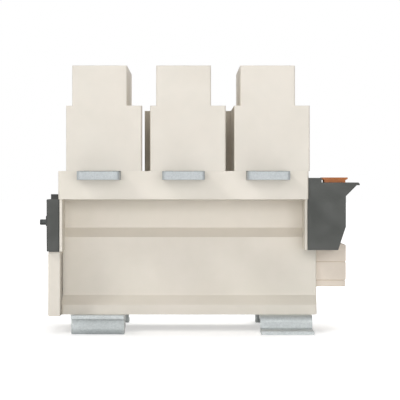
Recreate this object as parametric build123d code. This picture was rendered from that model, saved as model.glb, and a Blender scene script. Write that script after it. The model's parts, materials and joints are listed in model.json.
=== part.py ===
from build123d import *
import math
import os

# A three-pole block contactor, lying on its mounting plate. Sizes are in millimetres.
# +X runs across the poles, +Y from the line terminals to the load terminals, +Z away from the mounting plate.
# The origin is on the mounting plate, in the middle of the four foot holes.

# Poles
pole_pitch = 80.0
pole_middle_x = -8.6
pole_names = ("left", "middle", "right")

# Moving system
stroke = 12.0
contact_gap = 9.0
aux_travel = 5.0
guide_clearance = 0.3
lever_clearance = 0.5

# Magnet and coils
core_leg_width = 42.0
core_leg_depth = 72.0
core_leg_spacing = 80.0
core_yoke_height = 22.0
core_leg_height = 23.0
armature_leg_height = 12.0
armature_yoke_height = 16.0
core_corner = 2.0
winding_thickness = 9.0
bobbin_wall = 2.0
bobbin_flange = 2.5
bobbin_clearance = 0.4
bobbin_flange_rim = 0.6
bobbin_flange_corner = 4.0
bobbin_top_gap = 1.0
ring_width = 3.0
ring_depth = 4.0
ring_clearance = 0.05
buffer_height = 3.0
buffer_side = 24.0

# Lower housing
housing_wall = 3.5
housing_floor = 4.0
housing_left_margin = 38.4
housing_right_margin = 49.0
winding_clearance = 4.1
armature_side_clearance = 7.5
skirt_overhang = 8.0
skirt_height = 9.5
skirt_slope = 9.0
waist_height = 56.5
neck_slope = 9.0
crossbar_headroom = 4.0
moulding_corner = 1.5
end_rib_thickness = 2.5
end_rib_setback = 4.0
screw_pad_margin = 1.5
screw_post_wall = 1.9

# Crossbar, stirrups and contact springs
crossbar_half_length = 104.0
crossbar_half_depth = 18.0
crossbar_height = 16.0
crossbar_top_wall = 6.0
crossbar_side_wall = 5.0
stirrup_leg = 5.5
stirrup_depth = 16.0
stirrup_cap = 7.0
contact_spring_height = 17.0
contact_spring_radius = 9.0
return_spring_offset = 92.0
return_spring_radius = 8.0
return_spring_height = 56.0
spring_wire = 2.4
return_spring_pitch = 9.6
contact_spring_pitch = 4.32
spring_column_radius = 9.0

# Contacts and terminal bars
bridge_width = 26.0
bridge_thickness = 7.0
bridge_length = 88.0
bridge_corner = 5.0
tip_width = 20.0
tip_length = 16.0
tip_thickness = 2.5
tip_corner = 1.5
tip_centre = 30.0
bar_width = 40.0
bar_thickness = 8.0
terminal_reach = 44.0
bar_start = 20.0
bar_corner = 3.0
terminal_hole_inset = 20.0
terminal_hole_diameter = 13.0

# Pole block
block_half_depth = 108.0
block_height = 27.0
block_left_margin = 39.4
block_right_margin = 39.1
block_corner = 2.0
bar_recess = 0.4
bar_side_clearance = 0.2
deck_thickness = 6.2
pocket_half_width = 36.0
pocket_start = 24.0
block_end_wall = 4.0
bar_boss_margin = 2.0

# Arc chutes, plates and runners
chute_half_width = 31.9
chute_lower_height = 62.3
chute_upper_half_width = 26.1
chute_upper_height = 38.2
chute_wall = 3.8
chute_end_wall = 4.0
chute_roof = 4.0
chute_corner = 1.5
ear_reach = 40.2
ear_depth = 27.0
vent_width = 5.0
vent_length = 34.0
plate_pitch = 5.6
plate_thickness = 1.6
first_plate = 51.0
plate_foot_clearance = 9.0
plate_top_clearance = 7.5
plate_notch_half_width = 12.0
plate_notch_depth = 40.0
board_thickness = 1.5
runner_width = 20.0
runner_thickness = 2.0
runner_start = 42.0
runner_height = 46.0
runner_bend = 2.0

# Left cheek, guide cover, drive lug and pin
cheek_half_depth = 96.0
cheek_thickness = 11.4
cheek_height = 61.8
cheek_wall = 3.0
cheek_rib_spacing = 62.0
cover_thickness = 11.8
cover_gap = 0.6
cover_wall = 3.0
cover_tab_height = 4.9
cover_tab_length = 12.0
cover_tab_thickness = 6.8
lug_half_depth = 7.0
lug_height = 10.7
lug_reach = 6.0
lug_drop = 7.5
pin_radius = 2.8
pin_reach = 12.1
pin_rise = 4.2
arm_thickness = 5.4
cover_corner = 1.0
lug_corner = 0.8
pin_corner = 0.6

# Auxiliary holder, slide and lever
holder_wall = 3.0
holder_width = 28.7
holder_drop = 48.3
holder_foot_slope = 22.3
holder_waist_height = 29.1
holder_belly = 7.4
holder_lip = 10.4
holder_rail = 2.8
holder_rail_thickness = 2.6
holder_ridge_width = 12.1
holder_ridge_height = 4.4
holder_gap = 0.3
head_width = 24.6
head_depth = 30.0
head_thickness = 2.5
head_rise = 2.3
head_slope = 0.9
head_offset = 12.5
neck_width = 20.3
neck_height = 30.0
neck_wall = 2.4
slide_end_inset = 4.0
beam_width = 5.0
beam_height = 17.0
beam_back = 10.0
lever_height = 4.4
lever_width = 6.0
lever_boss_radius = 3.8
lever_pin_radius = 2.0
lever_pivot_inset = 18.1
ear_width = 5.7
running_clearance = 0.05
tongue_slack = 0.4
tongue_wall = 3.0
ear_front = 1.0
ear_margin = 2.0
lever_window_margin = 1.0
beam_root = 2.0

# Coil terminal box
box_half_depth = 50.0
box_depth = 29.1
box_bottom = 26.6
box_base_height = 6.3
box_body_height = 18.1
box_cover_height = 18.1
box_slant_width = 5.4
box_slant_drop = 1.8
box_base_inset = 0.7
box_edge = 0.6
clamp_offset = 25.0
clamp_width = 12.0
clamp_height = 9.0
clamp_thickness = 3.0
clamp_pocket_depth = 10.0
clamp_pocket_margin = 2.5
clamp_screw_radius = 1.9
clamp_screw_head = 3.6
clamp_screw_head_height = 2.0

# Foot brackets
foot_spacing_x = 180.0
foot_spacing_y = 210.0
foot_hole_diameter = 10.5
bracket_width = 50.0
sheet = 3.5
bend_radius = 2.0
foot_height = 16.0
foot_length = 42.0
foot_web = 88.0
flange_end = 38.0
lip_web = 120.0
lip_length = 17.0
lip_height = 19.0
lip_side_end = 62.0
flange_screw_y = 50.0
flange_screw_spacing = 28.0

# Screws
m6_radius = 3.0
m6_head_radius = 5.0
m6_head_height = 4.0
m5_radius = 2.5
m5_head_radius = 4.5
m5_head_height = 4.0
m4_radius = 2.0
m4_head_radius = 3.8
m4_head_height = 2.4
screw_clearance = 0.1
screw_grip = 10.0
armature_screw_offset = 40.0
armature_head_gap = 1.0
bracket_screw_inset = 1.0
bar_screw_y = 75.0
chute_screw_inset = 13.0
chute_head_sink = 1.0
side_screw_y = 35.0

# Levels, from the mounting plate up
housing_bottom = foot_height
floor_top = housing_bottom + housing_floor
core_bottom = floor_top + buffer_height
core_yoke_top = core_bottom + core_yoke_height
core_top = core_yoke_top + core_leg_height
armature_bottom = core_top + stroke
armature_yoke_bottom = armature_bottom + armature_leg_height
armature_top = armature_yoke_bottom + armature_yoke_height
crossbar_top = armature_top + crossbar_height
block_bottom = crossbar_top + crossbar_headroom
block_top = block_bottom + block_height
bar_top = block_top - bar_recess
bar_bottom = bar_top - bar_thickness
fixed_tip_top = bar_top + tip_thickness
bridge_bottom = fixed_tip_top + contact_gap + tip_thickness
bridge_top = bridge_bottom + bridge_thickness
stirrup_window_top = bridge_top + contact_spring_height
stirrup_top = stirrup_window_top + stirrup_cap
ear_top = block_top + chute_lower_height
chute_top = ear_top + chute_upper_height

# Places across the poles
pole_x = [pole_middle_x + pole_pitch * side for side in (-1, 0, 1)]
block_left = pole_x[0] - block_left_margin
block_right = pole_x[2] + block_right_margin
housing_left = pole_x[0] - housing_left_margin
housing_right = pole_x[2] + housing_right_margin
crossbar_left = pole_middle_x - crossbar_half_length
crossbar_right = pole_middle_x + crossbar_half_length
leg_x = [pole_middle_x + core_leg_spacing / 2 * side for side in (-1, 1)]
cover_left = housing_left - cover_gap - cover_thickness
arm_left = crossbar_left - arm_thickness

# Depths of the pole block's fittings
bar_end = block_half_depth + terminal_reach
runner_turn = block_half_depth - chute_end_wall - runner_thickness
board_end = runner_turn - board_thickness
plate_count = math.floor((board_end - plate_thickness - first_plate) / plate_pitch) + 1
vent_count = math.ceil(plate_count / 2)
cover_half_depth = block_half_depth - end_rib_setback

# Depths of the lower housing
bobbin_inner_y = core_leg_depth / 2 + bobbin_clearance
winding_outer_y = bobbin_inner_y + bobbin_wall + winding_thickness
waist_half = winding_outer_y + winding_clearance + housing_wall
neck_half = core_leg_depth / 2 + armature_side_clearance + housing_wall
skirt_half = waist_half + skirt_overhang
waist_bottom = housing_bottom + skirt_height + skirt_slope
waist_top = waist_bottom + waist_height
neck_bottom = waist_top + neck_slope

# The slide's beam runs inside the holder's left wall; the lever swings half its angle to each side of level
beam_left = housing_right + holder_gap + holder_wall + guide_clearance
pivot_x = housing_right + lever_pivot_inset
slide_reach = pivot_x - beam_left - beam_width / 2
lever_reach = slide_reach * stroke / aux_travel
lever_swing = math.degrees(math.asin(stroke / 2 / lever_reach))
pivot_z = armature_top + crossbar_height / 2 - stroke / 2


def block(x, y, z):
    """A block between two limits along each axis."""
    size = [high - low for low, high in (x, y, z)]
    middle = [(high + low) / 2 for low, high in (x, y, z)]
    return Pos(*middle) * Box(*size)


def along_x(points, low, high):
    """A prism along X from an outline of (y, z) points."""
    return extrude(Plane.YZ.offset(low) * make_face(Polyline(*points, close=True)), high - low)


def along_y(points, low, high):
    """A prism along Y from an outline of (x, z) points."""
    return extrude(Plane.XZ.offset(-high) * make_face(Polyline(*points, close=True)), high - low)


def rod_x(radius, low, high, y, z):
    """A round rod along X."""
    return Pos((low + high) / 2, y, z) * Rot(0, 90, 0) * Cylinder(radius, high - low)


def rod_y(radius, low, high, x, z):
    """A round rod along Y."""
    return Pos(x, (low + high) / 2, z) * Rot(90, 0, 0) * Cylinder(radius, high - low)


def rod_z(radius, low, high, x, y):
    """A round rod along Z."""
    return Pos(x, y, (low + high) / 2) * Cylinder(radius, high - low)


def rounded(x, y, z, radius):
    """A block whose upright edges are rounded."""
    return fillet(block(x, y, z).edges().filter_by(Axis.Z), radius)


def bevelled(x, y, z, corner):
    """A block whose upright edges are cut off."""
    return chamfer(block(x, y, z).edges().filter_by(Axis.Z), corner)


def hexagon_screw(radius, head_radius, head_height, length):
    """A screw with a hexagon head above the origin and its shank below."""
    head = extrude(RegularPolygon(head_radius, 6), head_height)
    return head + Pos(0, 0, -length / 2) * Cylinder(radius, length)


def screw(radius, head_radius, head_height, length):
    """A cap screw, its head above the origin and its shank below."""
    head = Pos(0, 0, head_height / 2) * Cylinder(head_radius, head_height)
    return head + Pos(0, 0, -length / 2) * Cylinder(radius, length)


def coil_spring(radius, bore, z_low, z_high, pitch, x, y):
    """A close-wound spring drawn as a turned sleeve with one V-shaped crest for each turn."""
    turns = max(3, round((z_high - z_low) / pitch))
    step = (z_high - z_low) / turns
    crests = [(radius - step / 4, z_low)]
    for turn in range(turns):
        crests.append((radius, z_low + (turn + 0.5) * step))
        crests.append((radius - step / 4, z_low + (turn + 1) * step))
    outline = [(bore, z_low), *crests, (bore, z_high)]
    return Pos(x, y, 0) * revolve(Plane.XZ * make_face(Polyline(*outline, close=True)), Axis.Z)


def housing_outline(inset, bottom, top):
    """The lower housing's section across Y, moved inwards by a wall: skirt, waist and neck."""
    side = [
        (skirt_half - inset, bottom),
        (skirt_half - inset, housing_bottom + skirt_height),
        (waist_half - inset, waist_bottom),
        (waist_half - inset, waist_top),
        (neck_half - inset, neck_bottom),
        (neck_half - inset, top),
    ]
    return side + [(-y, z) for y, z in reversed(side)]


def block_screw_places():
    """Where the pole block is screwed to the lower housing: between the poles, beside the neck's walls."""
    y = neck_half - housing_wall - m5_radius
    return [(pole_middle_x + pole_pitch / 2 * side, y * end) for side in (-1, 1) for end in (-1, 1)]


def flange_screw_places():
    """Where the brackets' top flanges are screwed to the housing floor."""
    return [
        (foot_spacing_x / 2 * side + flange_screw_spacing / 2 * step, flange_screw_y * end)
        for side in (-1, 1) for end in (-1, 1) for step in (-1, 1)
    ]


def lug_window():
    """The height that the drive lug passes over, with its clearance."""
    low = armature_top - lug_drop - stroke - lever_clearance
    return low, armature_top - lug_drop + lug_height + lever_clearance


def lever_window():
    """The height that the lever passes over at the housing's right wall, with its clearance."""
    swing = lever_pivot_inset + housing_wall
    reach = swing * math.sin(math.radians(lever_swing)) + lever_height / 2 + lever_clearance
    return pivot_z - reach, pivot_z + reach


def side_screw_places():
    """Middle height of the screws in the left cheek, the guide cover and the auxiliary holder."""
    cheek = housing_bottom + cheek_height / 2
    cover = (housing_bottom + cheek_height + block_bottom) / 2
    holder = box_levels()[3] + holder_gap + holder_wall + m4_head_radius + guide_clearance
    return cheek, cover, holder


def end_ribs():
    """The four ribs that stand out of the housing's neck at its ends, as far as the guide cover does."""
    right = block_right - 3 * holder_gap
    ribs = []
    for low_x, bottom in (
        (housing_left, housing_bottom + cheek_height + guide_clearance),
        (right - end_rib_thickness, block_bottom - holder_drop),
    ):
        for end in (-1, 1):
            y = sorted((end * (neck_half - housing_wall), end * cover_half_depth))
            ribs.append(block((low_x, low_x + end_rib_thickness), y, (bottom, block_bottom)))
    hollow = along_x(housing_outline(housing_wall, floor_top, block_bottom), housing_left, housing_right)
    return [rib - hollow for rib in ribs]


def lower_housing():
    """The moulded housing round the magnet, open at the top."""
    shell = along_x(housing_outline(0, housing_bottom, block_bottom), housing_left, housing_right)
    for end in (0, -1):
        shell = fillet(shell.faces().sort_by(Axis.X)[end].edges().filter_by(Axis.Z), moulding_corner)
    inner = (housing_left + housing_wall, housing_right - housing_wall)
    shell -= along_x(housing_outline(housing_wall, floor_top, block_bottom), *inner)
    shell += end_ribs()
    pad = m6_head_radius + screw_pad_margin
    for x, y in flange_screw_places():
        shell += block((x - pad, x + pad), (y - pad, y + pad), (floor_top, floor_top + m6_radius * 2))
        shell -= rod_z(m6_radius + screw_clearance, housing_bottom, floor_top + m6_radius * 2, x, y)
    for side in (-1, 1):
        x = pole_middle_x + return_spring_offset * side
        column_top = crossbar_top - crossbar_top_wall - return_spring_height
        shell += rod_z(spring_column_radius, floor_top, column_top, x, 0)
    for x, y in block_screw_places():
        top_wall = rod_z(m5_radius + screw_post_wall, neck_bottom, block_bottom, x, y)
        shell += top_wall - rod_z(m5_radius + screw_clearance, neck_bottom, block_bottom, x, y)
        shell -= rod_z(m5_radius + screw_clearance, neck_bottom, block_bottom, x, y)
    left_wall = (housing_left, housing_left + housing_wall)
    lug_y = lug_half_depth + lever_clearance
    shell -= block(left_wall, (-lug_y, lug_y), lug_window())
    right_wall = (housing_right - housing_wall, housing_right)
    half = lever_width / 2 + lever_clearance
    shell -= block(right_wall, (-half, half), lever_window())
    cheek_z, cover_z, holder_z = side_screw_places()
    for end in (-1, 1):
        for z in (cheek_z, cover_z):
            shell -= rod_x(m4_radius + screw_clearance, *left_wall, side_screw_y * end, z)
        shell -= rod_x(m4_radius + screw_clearance, *right_wall, side_screw_y * end, holder_z)
    return shell


def pole_block():
    """The moulding that carries the terminal bars, hollow underneath between its pole walls."""
    body = rounded(
        (block_left, block_right), (-block_half_depth, block_half_depth), (block_bottom, block_top), block_corner
    )
    guide_x = bridge_width / 2 + guide_clearance + stirrup_leg + guide_clearance
    guide_y = stirrup_depth / 2 + guide_clearance
    pocket_top = bar_bottom - deck_thickness
    for x in pole_x:
        body -= block((x - guide_x, x + guide_x), (-guide_y, guide_y), (block_bottom, block_top))
        for end in (-1, 1):
            channel = bar_width / 2 + bar_side_clearance
            y_low, y_high = sorted((end * (bar_start - bar_side_clearance), end * block_half_depth))
            body -= block((x - channel, x + channel), (y_low, y_high), (bar_bottom, block_top))
            y_low, y_high = sorted((end * pocket_start, end * (block_half_depth - block_end_wall)))
            pocket_x = (x - pocket_half_width, x + pocket_half_width)
            pocket = block(pocket_x, (y_low, y_high), (block_bottom, pocket_top))
            screw_y, reach = bar_screw_y * end, m6_head_radius + bar_boss_margin
            boss_x, boss_y = (x - reach, x + reach), (screw_y - reach, screw_y + reach)
            boss = block(boss_x, boss_y, (block_bottom, pocket_top))
            body -= pocket - boss
            hole = m6_radius + screw_clearance
            body -= rod_z(hole, bar_bottom - screw_grip, bar_bottom, x, screw_y)
    for x, y in chute_screw_places():
        body -= rod_z(m5_radius + screw_clearance, block_top - screw_grip, block_top, x, y)
    for x, y in block_screw_places():
        body -= rod_z(m5_radius + screw_clearance, block_bottom, block_top, x, y)
        body -= rod_z(m5_head_radius + screw_clearance, block_top - m5_head_height, block_top, x, y)
    return body


def terminal_bar(x, end):
    """A terminal bar with its bolt hole outside and its fixing hole inside."""
    low, high = sorted((end * bar_start, end * bar_end))
    bar = block((x - bar_width / 2, x + bar_width / 2), (low, high), (bar_bottom, bar_top))
    corners = bar.edges().filter_by(Axis.Z).sort_by(Axis.Y)
    bar = fillet(corners[-2:] if end > 0 else corners[:2], bar_corner)
    bolt_y = end * (bar_end - terminal_hole_inset)
    bar -= rod_z(terminal_hole_diameter / 2, bar_bottom, bar_top, x, bolt_y)
    return bar - rod_z(m6_radius + screw_clearance, bar_bottom, bar_top, x, bar_screw_y * end)


def tips(x, z_low, z_high):
    """A pair of contact tips, one for each terminal bar of a pole."""
    half_x, half_y = tip_width / 2, tip_length / 2
    ends = [tip_centre * end for end in (-1, 1)]
    tip_x, tip_z = (x - half_x, x + half_x), (z_low, z_high)
    return [bevelled(tip_x, (y - half_y, y + half_y), tip_z, tip_corner) for y in ends]


def contact_bridge(x):
    """The moving bar that joins the two terminal bars of a pole, its upper ends sloped."""
    half, low_end = bridge_length / 2, bridge_top - tip_thickness
    outline = [
        (-half, bridge_bottom), (half, bridge_bottom), (half, low_end), (half - bridge_corner, bridge_top),
        (bridge_corner - half, bridge_top), (-half, low_end),
    ]
    return along_x(outline, x - bridge_width / 2, x + bridge_width / 2)


def bar_screws():
    """The screws that hold the terminal bars and the arc runners to the pole block."""
    length = runner_thickness + bar_thickness + screw_grip
    one = hexagon_screw(m6_radius, m6_head_radius, m6_head_height, length)
    return [Pos(x, bar_screw_y * end, bar_top + runner_thickness) * one for x in pole_x for end in (-1, 1)]


def arc_runners():
    """Folded copper strips that lead each arc from the fixed tip along the bar and up the chute's end."""
    foot, top = bar_top + runner_thickness, bar_top + runner_height
    strips = []
    for x in pole_x:
        for end in (-1, 1):
            path = [(end * runner_start, foot), (end * runner_turn, foot), (end * runner_turn, top)]
            line = FilletPolyline(*path, radius=runner_bend)
            section = make_face(offset(line, runner_thickness, side=Side.RIGHT if end > 0 else Side.LEFT))
            strip = extrude(Plane.YZ.offset(x - runner_width / 2) * section, runner_width)
            strips.append(strip - rod_z(m6_radius + screw_clearance, bar_top, foot, x, bar_screw_y * end))
    return strips


def chute_screw_places():
    """The two screws of each chute, in its ears."""
    screw_x = (chute_half_width - chute_wall + ear_reach) / 2
    screw_y = block_half_depth - chute_screw_inset
    return [(x - screw_x * end, screw_y * end) for x in pole_x for end in (-1, 1)]


def chute_head_level():
    """The level under the heads of the chutes' screws, which sit sunk in the ears."""
    return ear_top - m5_head_height - chute_head_sink


def arc_chute(x):
    """The arc chute of a pole: a stepped moulded hood with two ears and vents in its roof."""
    deep = (-block_half_depth, block_half_depth)
    lower = rounded((x - chute_half_width, x + chute_half_width), deep, (block_top, ear_top), chute_corner)
    for end in (-1, 1):
        far_x, near_x = -end * ear_reach, -end * (chute_half_width - chute_wall)
        far_y, near_y = end * block_half_depth, end * (block_half_depth - ear_depth)
        ear_x = sorted((x + far_x, x + near_x))
        lower += rounded(ear_x, sorted((near_y, far_y)), (block_top, ear_top), chute_corner)
    upper_x = (x - chute_upper_half_width, x + chute_upper_half_width)
    hood = lower + rounded(upper_x, deep, (ear_top, chute_top), chute_corner)
    inner_y = (chute_end_wall - block_half_depth, block_half_depth - chute_end_wall)
    half = chute_half_width - chute_wall
    hood -= block((x - half, x + half), inner_y, (block_top, ear_top - chute_wall))
    half = inner_half_width()
    hood -= block((x - half, x + half), inner_y, (block_top, chute_top - chute_roof))
    for end in (-1, 1):
        for vent in range(vent_count):
            y = end * (first_plate + (2 * vent + 0.5) * plate_pitch)
            low, high = y - vent_width / 2, y + vent_width / 2
            vent_x = (x - vent_length / 2, x + vent_length / 2)
            hood -= block(vent_x, (low, high), (chute_top - chute_roof, chute_top))
    head_bottom = chute_head_level()
    for screw_x, y in chute_screw_places():
        if abs(screw_x - x) < pole_pitch / 2:
            hood -= rod_z(m5_radius + screw_clearance, block_top, ear_top, screw_x, y)
            hood -= rod_z(m5_head_radius + screw_clearance, head_bottom, ear_top, screw_x, y)
    return hood


def inner_half_width():
    """Half the width of the chute's upper chamber."""
    return chute_upper_half_width - chute_wall


def arc_plates(x):
    """The steel plates that split the arc, each with a V-shaped mouth over the contacts."""
    half = inner_half_width() - board_thickness
    low, high = bar_top + plate_foot_clearance, chute_top - chute_roof - plate_top_clearance
    outline = [
        (x - half, low), (x - plate_notch_half_width, low), (x, low + plate_notch_depth),
        (x + plate_notch_half_width, low), (x + half, low), (x + half, high), (x - half, high),
    ]
    plates = []
    for end in (-1, 1):
        for number in range(plate_count):
            y = end * (first_plate + number * plate_pitch)
            plates.append(along_y(outline, y - plate_thickness / 2, y + plate_thickness / 2))
    return plates


def plate_boards(x):
    """The fibre boards that hold the arc plates, one on each side of each stack."""
    outer = inner_half_width()
    low, high = bar_top + plate_foot_clearance, chute_top - chute_roof
    boards = []
    for end in (-1, 1):
        first = first_plate - plate_pitch / 2
        y = sorted((end * first, end * board_end))
        boards.append(block((x - outer, x - outer + board_thickness), y, (low, high)))
        boards.append(block((x + outer - board_thickness, x + outer), y, (low, high)))
    return boards


def crossbar():
    """The moulded crossbar: an inverted channel with a stirrup for each pole, an arm and a tongue."""
    half = crossbar_half_depth
    inner = half - crossbar_side_wall
    under = crossbar_top - crossbar_top_wall
    outline = [
        (-half, armature_top), (-inner, armature_top), (-inner, under), (inner, under),
        (inner, armature_top), (half, armature_top), (half, crossbar_top), (-half, crossbar_top),
    ]
    body = along_x(outline, crossbar_left, crossbar_right)
    window = bridge_width / 2 + guide_clearance
    leg = window + stirrup_leg
    deep = (-stirrup_depth / 2, stirrup_depth / 2)
    for x in pole_x:
        body += block((x - leg, x + leg), deep, (crossbar_top, stirrup_top))
        body -= block((x - window, x + window), deep, (bridge_bottom, stirrup_window_top))
    for side in (-1, 1):
        x = pole_middle_x + armature_screw_offset * side
        body -= rod_z(m6_radius + screw_clearance, under, crossbar_top, x, 0)
    arm_bottom = armature_top - lug_drop - m4_radius
    body += block((arm_left, crossbar_left), (-half / 2, half / 2), (arm_bottom, crossbar_top))
    pin_z = armature_top - lug_drop + pin_rise
    body -= rod_x(pin_radius, arm_left, crossbar_left, 0, pin_z)
    return body + lever_tongue()


def lever_tongue():
    """The crossbar's right end, with the slot that the lever's nose sits in."""
    end_x = pivot_x - lever_reach + lever_height
    slot_x = pivot_x - lever_reach - lever_height / 2 - lever_clearance
    middle = armature_top + crossbar_height / 2
    slot_half = lever_height / 2 + lever_clearance + tongue_slack
    half_y = lever_width / 2 + lever_clearance + tongue_wall
    body = block((crossbar_right, end_x), (-half_y, half_y), (armature_top, crossbar_top))
    return body - block((slot_x, end_x), (-half_y, half_y), (middle - slot_half, middle + slot_half))


def armature():
    """The moving half of the magnet, an inverted U of steel laminations."""
    left, right = leg_x[0] - core_leg_width / 2, leg_x[1] + core_leg_width / 2
    inner_left, inner_right = leg_x[0] + core_leg_width / 2, leg_x[1] - core_leg_width / 2
    outline = [
        (left, armature_bottom), (inner_left, armature_bottom), (inner_left, armature_yoke_bottom),
        (inner_right, armature_yoke_bottom), (inner_right, armature_bottom), (right, armature_bottom),
        (right, armature_top - core_corner), (right - core_corner, armature_top),
        (left + core_corner, armature_top), (left, armature_top - core_corner),
    ]
    body = along_y(outline, -core_leg_depth / 2, core_leg_depth / 2)
    for side in (-1, 1):
        x = pole_middle_x + armature_screw_offset * side
        body -= rod_z(m6_radius + screw_clearance, armature_top - screw_grip, armature_top, x, 0)
    return body


def armature_screws():
    """The two screws that hold the armature to the crossbar."""
    head_height = crossbar_headroom - armature_head_gap
    one = hexagon_screw(m6_radius, m6_head_radius, head_height, crossbar_height + screw_grip)
    return [Pos(pole_middle_x + armature_screw_offset * side, 0, crossbar_top) * one for side in (-1, 1)]


def ring_frame(x, outer, inner, z):
    """A flat rectangular ring in the top of a core leg, over its outer half."""
    half_x, half_y = core_leg_width / 4, core_leg_depth / 2 - ring_width
    ring = block((x - half_x - outer, x + half_x + outer), (-half_y - outer, half_y + outer), z)
    reach_x, reach_y = half_x - ring_width + inner, half_y - ring_width + inner
    return ring - block((x - reach_x, x + reach_x), (-reach_y, reach_y), z)


def ring_places():
    """The middle of each shading ring along X."""
    return [leg_x[0] - core_leg_width / 8, leg_x[1] + core_leg_width / 8]


def fixed_core():
    """The fixed half of the magnet, a U of steel laminations with slots for the shading rings."""
    left, right = leg_x[0] - core_leg_width / 2, leg_x[1] + core_leg_width / 2
    inner_left, inner_right = leg_x[0] + core_leg_width / 2, leg_x[1] - core_leg_width / 2
    outline = [
        (left + core_corner, core_bottom), (right - core_corner, core_bottom), (right, core_bottom + core_corner),
        (right, core_top), (inner_right, core_top), (inner_right, core_yoke_top),
        (inner_left, core_yoke_top), (inner_left, core_top), (left, core_top), (left, core_bottom + core_corner),
    ]
    body = along_y(outline, -core_leg_depth / 2, core_leg_depth / 2)
    for x in ring_places():
        body -= ring_frame(x, ring_clearance, -ring_clearance, (core_top - ring_depth, core_top))
    return body


def shading_rings():
    """Copper rings let into the pole faces of the core."""
    return [ring_frame(x, 0, 0, (core_top - ring_depth, core_top)) for x in ring_places()]


def bobbin(x):
    """The bobbin of one coil: a tube round the core's leg with a flange at each end."""
    bottom, top = core_yoke_top, armature_yoke_bottom - stroke - bobbin_top_gap
    inner_x = core_leg_width / 2 + bobbin_clearance
    tube_x, tube_y = inner_x + bobbin_wall, bobbin_inner_y + bobbin_wall
    flange_x, flange_y = tube_x + winding_thickness + bobbin_flange_rim, winding_outer_y + bobbin_flange_rim
    body = rounded((x - tube_x, x + tube_x), (-tube_y, tube_y), (bottom, top), bobbin_wall)
    for low in (bottom, top - bobbin_flange):
        levels = (low, low + bobbin_flange)
        body += rounded((x - flange_x, x + flange_x), (-flange_y, flange_y), levels, bobbin_flange_corner)
    return body - block((x - inner_x, x + inner_x), (-bobbin_inner_y, bobbin_inner_y), (bottom, top))


def winding(x):
    """The copper winding between the bobbin's flanges."""
    bottom = core_yoke_top + bobbin_flange
    top = armature_yoke_bottom - stroke - bobbin_top_gap - bobbin_flange
    tube_x = core_leg_width / 2 + bobbin_clearance + bobbin_wall
    tube_y = bobbin_inner_y + bobbin_wall
    outer = rounded(
        (x - tube_x - winding_thickness, x + tube_x + winding_thickness),
        (-winding_outer_y, winding_outer_y), (bottom, top), winding_thickness / 2 + bobbin_wall,
    )
    return outer - rounded((x - tube_x, x + tube_x), (-tube_y, tube_y), (bottom, top), bobbin_wall)


def core_buffers():
    """Rubber pads between the core and the housing floor."""
    pads = []
    for x in leg_x:
        for end in (-1, 1):
            y = end * (core_leg_depth / 2 - buffer_side / 2)
            x_limits = (x - buffer_side / 2, x + buffer_side / 2)
            y_limits = (y - buffer_side / 2, y + buffer_side / 2)
            pads.append(bevelled(x_limits, y_limits, (floor_top, core_bottom), core_corner))
    return pads


def return_springs():
    """The two springs that push the crossbar away from the magnet."""
    top = crossbar_top - crossbar_top_wall
    places = [pole_middle_x + return_spring_offset * side for side in (-1, 1)]
    bore = return_spring_radius - spring_wire
    bottom = top - return_spring_height
    return [coil_spring(return_spring_radius, bore, bottom, top, return_spring_pitch, x, 0) for x in places]


def left_cheek():
    """The end plate at the left, hollow behind, with two ribs, two screw bosses and cored ends."""
    left, right = housing_left - cheek_thickness, housing_left
    top = housing_bottom + cheek_height
    body = block((left, right), (-cheek_half_depth, cheek_half_depth), (housing_bottom, top))
    body = fillet(body.faces().sort_by(Axis.X)[0].edges(), moulding_corner)
    inner_z = (housing_bottom + cheek_wall, top - cheek_wall)
    reach = skirt_half - cheek_wall
    hollow = block((left + cheek_wall, right), (-reach, reach), inner_z)
    for end in (-1, 1):
        core_y = sorted((end * skirt_half, end * (cheek_half_depth - cheek_wall)))
        body -= block((left + cheek_wall, right - cheek_wall), core_y, (housing_bottom + cheek_wall, top))
        rib = end * cheek_rib_spacing / 2
        hollow -= block((left, right), (rib - cheek_wall / 2, rib + cheek_wall / 2), inner_z)
        hollow -= rod_x(m4_head_radius + cheek_wall, left, right, side_screw_y * end, side_screw_places()[0])
    body -= hollow
    for end in (-1, 1):
        z = side_screw_places()[0]
        body -= rod_x(m4_radius + screw_clearance, left, right, side_screw_y * end, z)
        body -= rod_x(m4_head_radius + screw_clearance, left, left + m4_head_height, side_screw_y * end, z)
    return body


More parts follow.
